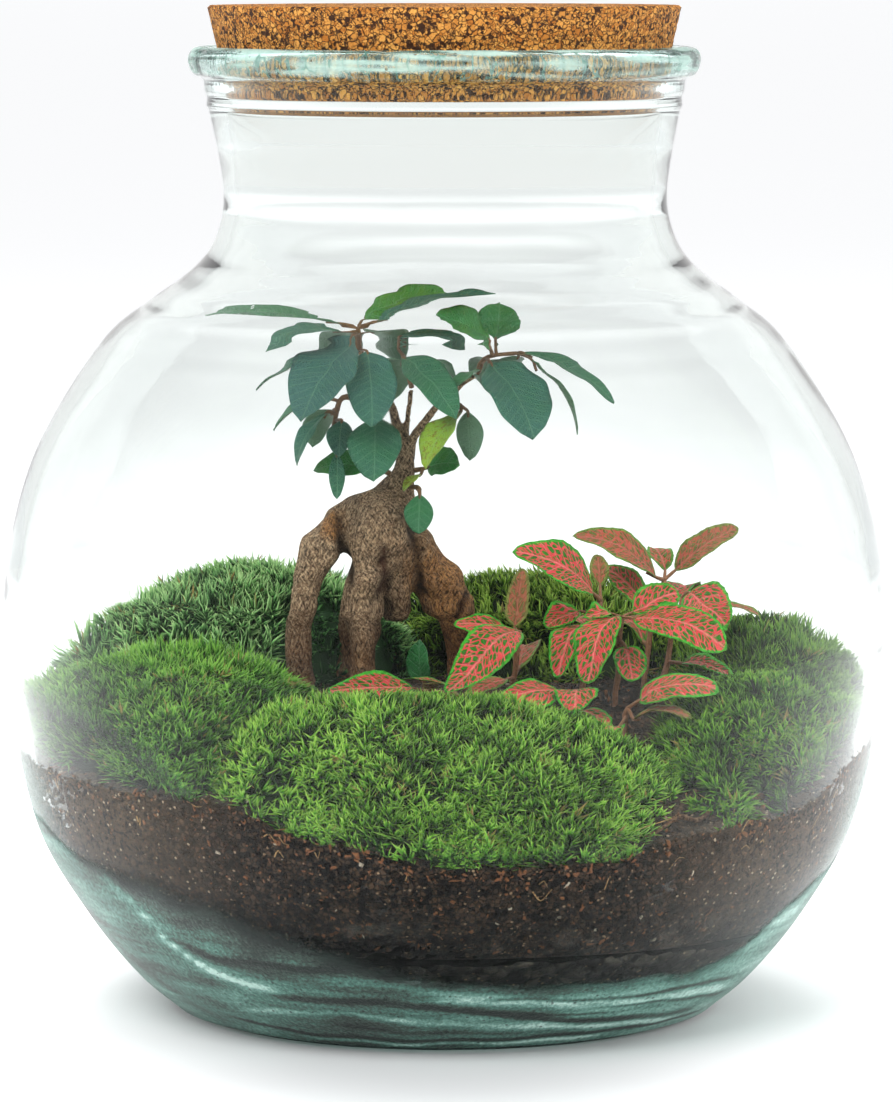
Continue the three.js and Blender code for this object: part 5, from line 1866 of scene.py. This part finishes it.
def nearest_on_limb(points: np.ndarray, limb: Sequence[Point]) -> tuple[np.ndarray, np.ndarray, np.ndarray]:
    """Finds the nearest places on a limb's axis.

    Args:
        points: The points to start from.
        limb: The axis, as a chain of points.

    Returns:
        For each point, its distance from the axis, how far along the axis it is, and the axis's
        direction there.
    """
    distance, travelled = np.full(len(points), 1e9), np.zeros(len(points))
    heading, done = np.zeros((len(points), 3)), 0.0
    chain = np.asarray(limb, float)
    for start, end in zip(chain, chain[1:]):
        length = float(np.linalg.norm(end - start))
        along = (end - start) / length
        t = np.clip((points - start) @ along, 0, length)
        gap = np.linalg.norm(points - start - t[:, None] * along, axis=1)
        closer = gap < distance
        distance = np.where(closer, gap, distance)
        travelled = np.where(closer, done + t, travelled)
        heading = np.where(closer[:, None], along, heading)
        done += length
    return distance, travelled, heading


@dataclass(frozen=True)
class Crease:
    """A fold in the bark as seen from the front: its course as (x, height), half-width and depth, and how red
    the painted shade in it is.
    """

    course: tuple[tuple[float, float], ...]
    width: float
    depth: float
    rust: float = 0.0

    def at(self, points: np.ndarray) -> np.ndarray:
        """Gives how deep in the fold each point is, from 0 to 1."""
        flat = np.column_stack([points[:, 0], points[:, 2], np.zeros(len(points))])
        distance, _, _ = nearest_on_limb(flat, [(x, z, 0) for x, z in self.course])
        return np.exp(-((distance / self.width) ** 2))


@dataclass
class FicusTrunk:
    """The swollen trunk and roots, carved from their solid with folds, lumps and creases."""

    node: str = "ficus_trunk"
    grain: float = 0.6
    flute: float = 0.45
    lump: float = 0.6
    belly: tuple[tuple[Point, Point], ...] = (
        ((-19.5, 3, 140), (11.5, 9.5, 14)),
        ((-24, -1.5, 123), (6.5, 6.5, 18)),
        ((-14.2, 6, 127), (5.3, 5.5, 13)),
    )
    creases: tuple[Crease, ...] = (
        Crease(((-31.5, 145), (-31, 138), (-29, 131), (-28, 126)), 1.5, 1.3),
        Crease(((-9, 141), (-8, 134), (-7.2, 122)), 1.4, 1.2),
        Crease(((-17.8, 136), (-17.3, 130), (-17.6, 124)), 1.6, 0.9, 0.8),
        Crease(((7, 122), (3.5, 115)), 1.0, 1.0, 0.3),
    )
    seed: int = 41

    def remeshed(self) -> bpy.types.Mesh:
        """Joins the solid and the swellings of its belly into one mesh of small even faces."""
        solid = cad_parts[self.node]
        body = bmesh.new()
        body.from_mesh(solid.data)
        body.transform(solid.matrix_world)
        for centre, radii in self.belly:
            place = Matrix.Translation(np.array(centre) * MM) @ Matrix.Diagonal((*(np.array(radii) * MM), 1))
            bmesh.ops.create_icosphere(body, subdivisions=4, radius=1, matrix=place)
        blank = bpy.data.meshes.new("trunk_blank")
        body.to_mesh(blank)
        body.free()
        copy = bpy.data.objects.new("trunk_blank", blank)
        bpy.context.scene.collection.objects.link(copy)
        fine = copy.modifiers.new("fine", "REMESH")
        fine.mode, fine.voxel_size = "VOXEL", self.grain * MM
        soft = copy.modifiers.new("soft", "SMOOTH")
        soft.factor, soft.iterations = 0.5, 9
        made = bpy.data.meshes.new_from_object(copy.evaluated_get(bpy.context.evaluated_depsgraph_get()))
        copy.modifiers.clear()
        copy.data = made
        heights = np.empty(len(made.vertices) * 3)
        made.vertices.foreach_get("co", heights)
        heights = heights[2::3] / MM
        for low, high in ((104, 153), (110, 149)):
            group = copy.vertex_groups.new(name=f"swollen_{low}")
            group.add(np.flatnonzero((heights > low) & (heights < high)).tolist(), 1.0, "REPLACE")
            melt = copy.modifiers.new("melt", "SMOOTH")
            melt.factor, melt.iterations, melt.vertex_group = 0.5, 12, group.name
        melted = bpy.data.meshes.new_from_object(copy.evaluated_get(bpy.context.evaluated_depsgraph_get()))
        bpy.data.objects.remove(copy)
        bpy.data.meshes.remove(blank)
        bpy.data.meshes.remove(made)
        return melted

    def build(self, finish: bpy.types.Material) -> None:
        """Makes the trunk in the place of its solid."""
        mesh = self.remeshed()
        count = len(mesh.vertices)
        points, normals = np.empty(count * 3), np.empty(count * 3)
        mesh.vertices.foreach_get("co", points)
        mesh.vertex_normals.foreach_get("vector", normals)
        points, normals = points.reshape(-1, 3) / MM, normals.reshape(-1, 3)
        found = [nearest_on_limb(points, limb) for limb in LIMB_AXES]
        weight = np.array([1 / (1 + distance) ** 4 for distance, _, _ in found])
        weight /= weight.sum(axis=0)
        heading = unit(sum(w[:, None] * h for w, (_, _, h) in zip(weight, found)))
        best = weight.argmax(axis=0)
        travelled = np.choose(best, [t for _, t, _ in found])
        radial = unit(normals - heading * (normals * heading).sum(axis=1, keepdims=True))
        turn = np.arctan2(radial[:, 1], radial[:, 0])
        thickness = np.choose(best, [d for d, _, _ in found])
        thick = fade(thickness, 1.5, 5)
        flutes = Ripple(5.5, self.seed, (1, 1, 5)).at(np.column_stack([points[:, :2], points[:, 2] * 0.9]))
        furrow = np.sin(turn * 7 + travelled * 0.11 + 1.5 * Ripple(24, self.seed + 1).at(points))
        lumps = Ripple(11, self.seed + 2).at(points)
        pits = np.minimum(0, Ripple(3.2, self.seed + 3, (1, 1, 1.6)).at(points) + 0.6)
        relief = (self.flute * (0.7 * flutes + 0.3 * furrow) + self.lump * lumps + 0.6 * pits) * thick
        facing = fade(normals[:, 1], 0.5, -0.1)
        folds = [crease.at(points) * facing for crease in self.creases]
        relief = relief - sum(crease.depth * fold for crease, fold in zip(self.creases, folds))
        points = points + normals * relief[:, None]
        mesh.vertices.foreach_set("co", (points * MM).ravel())
        side = unit(np.cross(heading, (0.2, 0.97, 0.1)))
        local = np.column_stack([(points * axis).sum(1) for axis in (side, np.cross(heading, side), heading)])
        mesh.attributes.new("grain", "FLOAT_VECTOR", "POINT").data.foreach_set("vector", local.ravel())
        warmth = 1.25 * weight[4] * fade(points[:, 2], 148, 128) + 0.15
        patch = np.linalg.norm((points - (-33.5, -6, 144)) * (1, 0.6, 0.8), axis=1)
        warmth += 1.1 * fade(patch, 6, 3) + 0.35 * fade(points[:, 2], 112, 100)
        # Painted shade in the folds and deepest hollows, and how red it is in each fold.
        hollow = np.clip(np.max(folds, axis=0) * 0.9 + 0.5 * fade(-relief, 0.9, 1.8), 0, 1)
        rust = np.max([crease.rust * fold for crease, fold in zip(self.creases, folds)], axis=0)
        for name, values in (("warmth", warmth), ("hollow", hollow), ("rust", rust)):
            mesh.attributes.new(name, "FLOAT", "POINT").data.foreach_set("value", values)
        mesh.polygons.foreach_set("use_smooth", np.ones(len(mesh.polygons), bool))
        mesh.materials.clear()
        mesh.materials.append(finish)
        mesh.name = "ginseng_trunk_bark"
        piece = bpy.data.objects.new("ginseng_trunk_bark", mesh)
        bpy.context.scene.collection.objects.link(piece)
        settle(piece, "bark", self.node)


# ---------------------------------------------------------------- leaves


class BladeShape(Enum):
    """Outline of a leaf: its half-width's share at each place from its base (0) to its tip (1)."""

    FICUS = (0.96, 0.72)
    NERVE = (0.86, 0.64)

    def share(self, t: np.ndarray) -> np.ndarray:
        """Gives the share of the half-width."""
        skew, fullness = self.value
        full = np.maximum(np.sin(math.pi * t**skew), 0) ** (fullness - 0.3 * (t - 0.5))
        if self is BladeShape.FICUS:
            return full * (1 - 0.4 * fade(t, 0.94, 0.98))
        return full * (1 + 0.02 * np.sin(60 * t))


@dataclass
class LeafyShoot:
    """One stem with its leaves, each a thin folded blade on a petiole."""

    node: str
    shoot: Shoot
    shape: BladeShape
    stem_radius: float
    slot: str
    seed: int
    skin: float = 0.4
    fold: float = 0.22
    wave: float = 0.04

    def blade(self, leaf: Leaf, number: int) -> tuple[np.ndarray, list[np.ndarray], dict[str, np.ndarray]]:
        """Makes one blade.

        Args:
            leaf: Its place and size.
            number: Its number on this stem.

        Returns:
            Its points and faces, and its points' values.
        """
        base, tip = np.array(leaf.base, float), np.array(leaf.tip, float)
        chord = tip - base
        length = float(np.linalg.norm(chord))
        along = chord / length
        turn = math.radians(-leaf.roll if along[0] < 0 else leaf.roll)
        side = np.cross((0, 0, 1), along)
        side = np.array(Matrix.Rotation(turn, 3, along.tolist())) @ (side / np.linalg.norm(side))
        normal = np.cross(along, side)
        stations = np.linspace(0, 1, 30)[:, None]
        columns = np.linspace(-1, 1, 13)[None, :]
        t = np.repeat(stations, 13, axis=1)
        s = np.repeat(columns, 30, axis=0)
        half = leaf.width / 2 * np.maximum(self.shape.share(t), 0.02)
        phase = self.seed * 1.7 + number * 2.3
        frill = 0.018 * leaf.width * np.abs(s) ** 2 * np.sin(19 * t + phase + s)
        lift = self.fold * half * np.abs(s) ** 1.6 + self.wave * leaf.width * s * np.sin(9 * t) + frill
        run = t * length - 0.8 * np.abs(s * half)
        quilt = 0.16 * np.sin(TAU * run / 2.5) * (1 - s**2) * (t * (1 - t) * 4)
        if self.shape is BladeShape.FICUS:
            quilt *= 0.25
        quilt -= 0.25 * np.exp(-((s * half / 0.7) ** 2)) * (1 - t)
        rise = leaf.arch * length * 4 * t * (1 - t) + lift + quilt
        centre = base + t[..., None] * chord
        middle = centre + rise[..., None] * normal + (s * half)[..., None] * side
        thickness = self.skin * (1 - 0.55 * np.abs(s) ** 3)
        top = middle + normal * (thickness / 2)[..., None]
        low = middle - normal * (thickness / 2)[..., None]
        rings = np.concatenate([top, low[:, ::-1]], axis=1)
        points = rings.reshape(-1, 3)
        across = np.concatenate([s * half, (s * half)[:, ::-1]], axis=1).ravel()
        inwards = np.concatenate([(1 - np.abs(s)) * half, ((1 - np.abs(s)) * half)[:, ::-1]], axis=1)
        inwards = np.minimum(inwards, np.concatenate([t, t], axis=1) * length)
        inwards = np.minimum(inwards, np.concatenate([1 - t, 1 - t], axis=1) * length)
        reach = np.concatenate([t, t], axis=1).ravel() * length
        own = np.full(len(points), 7.3 * number + 51.7 * self.seed)
        place = np.column_stack([across, reach, own])
        up = np.tile(np.repeat((1.0, 0.0), 13), 30)
        yellowing = 0.35 * max(leaf.shade - 0.6, 0) / 0.4 * (place[:, 1] / length - 0.5)
        shade = leaf.shade + yellowing
        values = {"leaf_place": place, "margin": inwards.ravel(), "shade": shade, "face_up": up}
        return points, ring_faces(30, 26), values

    def root_of(self, leaf: Leaf) -> np.ndarray:
        """Finds where on the stem a leaf's petiole springs."""
        base, best = np.array(leaf.base, float), None
        chain = np.asarray(self.shoot.stem, float)
        for start, end in zip(chain, chain[1:]):
            along = end - start
            t = float(np.clip((base - start) @ along / (along @ along), 0, 1))
            spot = start + t * along
            if best is None or np.linalg.norm(spot - base) < np.linalg.norm(best - base):
                best = spot
        return best

    def build(self, leaf_finish: bpy.types.Material, stalk_finish: bpy.types.Material) -> None:
        """Makes the shoot in the place of its solid."""
        draft = Draft()
        spare = {"margin": 0.0, "face_up": 1.0}
        stem = smooth_curve(self.shoot.stem, 1.2)
        limbs = [(stem, self.stem_radius * np.linspace(1.05, 0.9, len(stem)))]
        for leaf in self.shoot.leaves:
            base, tip = np.array(leaf.base, float), np.array(leaf.tip, float)
            path = smooth_curve([self.root_of(leaf), base, base + 0.12 * (tip - base)], 0.8)
            limbs.append((path, 0.55 * np.linspace(1.1, 0.7, len(path))))
        for path, radii in limbs:
            knots = 1 + 0.08 * Ripple(3, self.seed).at(path)
            points, faces = tube(path, radii * knots, 12)
            along = np.repeat(np.cumsum(np.linalg.norm(np.diff(path, axis=0, prepend=path[:1]), axis=1)), 12)
            around = np.tile(np.arange(12) / 12, len(path))
            place = np.column_stack([np.cos(around * TAU), np.sin(around * TAU), along])
            draft.add(points, faces, slot=1, leaf_place=place, shade=0.3, **spare)
        for number, leaf in enumerate(self.shoot.leaves):
            points, faces, values = self.blade(leaf, number)
            draft.add(points, faces, slot=0, **values)
        settle(draft.build(self.node + "_leaves", [leaf_finish, stalk_finish]), self.slot, self.node)


# ---------------------------------------------------------------- studio


@dataclass(frozen=True)
class Lamp:
    """A soft square lamp that looks at the jar."""

    name: str
    place: tuple[float, float, float]
    size: float
    power: float


@dataclass
class Studio:
    """The pale floor, the even white surround, the lamps and the camera."""

    lens: float = 178.3
    eye: tuple[float, float, float] = (0.0006, -1.60666, 0.3104)
    pitch: float = 0.1088
    lamps: tuple[Lamp, ...] = (
        Lamp("key_light", (-0.8, -1.3, 1.6), 1.2, 40),
        Lamp("fill_light", (1.3, -1.0, 0.8), 1.0, 14),
        Lamp("top_light", (-0.1, 0.9, 1.9), 1.3, 26),
    )

    def lights(self) -> None:
        """Hangs the lamps."""
        aim = np.array([0, 0, 0.14])
        for lamp in self.lamps:
            light = bpy.data.lights.new(lamp.name, "AREA")
            light.shape, light.size = "SQUARE", lamp.size
            light.energy = lamp.power
            holder = bpy.data.objects.new(lamp.name, light)
            holder.visible_glossy = holder.visible_transmission = False
            away = unit(np.array(lamp.place) - aim)
            side = unit(np.cross((0, 0, 1), away))
            up = np.cross(away, side)
            turned = np.eye(4)
            turned[:3, :3] = np.column_stack([side, up, away])
            turned[:3, 3] = lamp.place
            holder.matrix_world = Matrix(turned.tolist())
            bpy.context.scene.collection.objects.link(holder)

    def surround(self) -> None:
        """Makes the white surround, greyer overhead."""
        world = bpy.data.worlds.new("white_surround")
        bpy.context.scene.world = world
        world.use_nodes = True
        world.node_tree.nodes.clear()
        bench = Bench(world.node_tree)
        _, depth, height = bench.split(bench.give("TexCoord", {}, "Generated"))
        sky = bench.ramp(
            height * 0.5 + 0.5,
            (0.0, (0.9, 0.9, 0.9, 1)), (0.6, (1.0, 1.0, 1.0, 1)), (1.0, (0.7, 0.71, 0.73, 1)),
        )
        sky = bench.blend(bench.step(depth, -0.1, -0.75), sky, (0.42, 0.42, 0.425, 1))
        glow = bench.give("Background", {"Color": sky, "Strength": 1.0})
        bench.add("OutputWorld", {"Surface": glow})

    def floor(self, finish: bpy.types.Material) -> None:
        """Lays the floor, with its edge beyond the horizon."""
        reach = 400_000.0
        draft = Draft()
        square = np.array([(-1, -1, 0), (1, -1, 0), (1, 1, 0), (-1, 1, 0)])
        corners = np.vstack([square, square - (0, 0, 1e-4)]) * reach
        sides = np.array([(0, 1, 2, 3), (7, 6, 5, 4), (0, 4, 5, 1), (1, 5, 6, 2), (2, 6, 7, 3), (3, 7, 4, 0)])
        draft.add(corners, [sides])
        draft.build("studio_floor", [finish])

    def camera(self) -> None:
        """Sets the camera where the photographer stood."""
        camera = bpy.data.cameras.new("camera")
        camera.lens, camera.sensor_width = self.lens, 36
        camera.clip_start, camera.clip_end = 0.05, 2000
        holder = bpy.data.objects.new("camera", camera)
        turn = Matrix.Rotation(math.pi / 2 - self.pitch, 4, "X")
        holder.matrix_world = Matrix.Translation(self.eye) @ turn
        bpy.context.scene.collection.objects.link(holder)
        bpy.context.scene.camera = holder

    def build(self, finish: bpy.types.Material) -> None:
        """Sets up the whole studio."""
        self.floor(finish)
        self.surround()
        self.lights()
        self.camera()
        bpy.context.scene.view_settings.view_transform = "Standard"


# ---------------------------------------------------------------- the garden

# Root, body and tip colours of each cushion. They differ partly by the moss's own tone and partly as painted
# light: a paler, greyer painted haze on the back-left cushion and painted shade on the right-hand ones.
MOSS_FINISHES = {
    "moss_front": ((14, 36, 6), (90, 162, 34), (192, 226, 100)),
    "moss_front_left": ((14, 36, 8), (70, 138, 34), (160, 204, 88)),
    "moss_back_left": ((30, 60, 30), (116, 176, 98), (200, 226, 156)),
    "moss_right_front": ((10, 28, 4), (66, 130, 20), (152, 196, 66)),
    "moss_right_back": ((12, 30, 6), (66, 124, 24), (146, 184, 64)),
    "moss_back": ((20, 40, 12), (104, 150, 40), (180, 204, 90)),
}


def dress_part(effects: Effects) -> None:
    """Makes every piece of the jar garden."""
    GlassJar().build(JarGlassFinish().material(effects))
    GlassLightVeil().build(GlassLightVeilFinish().material(effects))
    CorkStopper().build(CorkFinish().material(effects))
    earth = EarthFinish("moist_soil", 700.0, screen(94, 68, 50), screen(40, 29, 22)).material(effects)
    stones = EarthFinish("dark_grit", 190.0, screen(104, 92, 80), screen(30, 25, 21)).material(effects)
    ground = Ground()
    ground.soil(earth)
    ground.loose_crumbs(earth)
    ground.grit(stones)
    bark = BarkFinish().material(effects)
    chip = BarkFinish("split_bark", warm=screen(186, 118, 66)).material(effects)
    straw = StalkFinish("dry_straw", screen(206, 168, 112), screen(120, 84, 50), 0.6).material(effects)
    litter = Litter()
    litter.chip(chip)
    litter.root_fibre(chip)
    litter.straws(straw)
    for k, cushion in enumerate(MOSS):
        tones = [screen(*tone) for tone in MOSS_FINISHES[cushion.node]]
        cushion.build(MossFinish(cushion.node + "_green", *tones).material(effects), MOSS[:k])
    FicusTrunk().build(bark)
    twig = StalkFinish("ficus_twig", screen(136, 104, 74), screen(74, 52, 36)).material(effects)
    pink = StalkFinish("nerve_stalk", screen(168, 118, 88), screen(98, 66, 44), 0.45).material(effects)
    ficus, nerve = FicusLeafFinish().material(effects), NerveLeafFinish().material(effects)
    for k, (node, shoot) in enumerate(FICUS_SHOOTS.items()):
        LeafyShoot(node, shoot, BladeShape.FICUS, 0.8, "ficus_leaf", k).build(ficus, twig)
    for k, (node, shoot) in enumerate(NERVE_SHOOTS.items()):
        LeafyShoot(node, shoot, BladeShape.NERVE, 0.9, "fittonia_leaf", 40 + k).build(nerve, pink)


def main() -> None:
    """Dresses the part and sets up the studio."""
    logging.basicConfig(level=logging.INFO, format="%(name)s %(message)s")
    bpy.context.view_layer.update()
    effects = Effects.build()
    dress_part(effects)
    Studio().build(FloorFinish().material(effects))


if __name__ == "__main__":
    main()
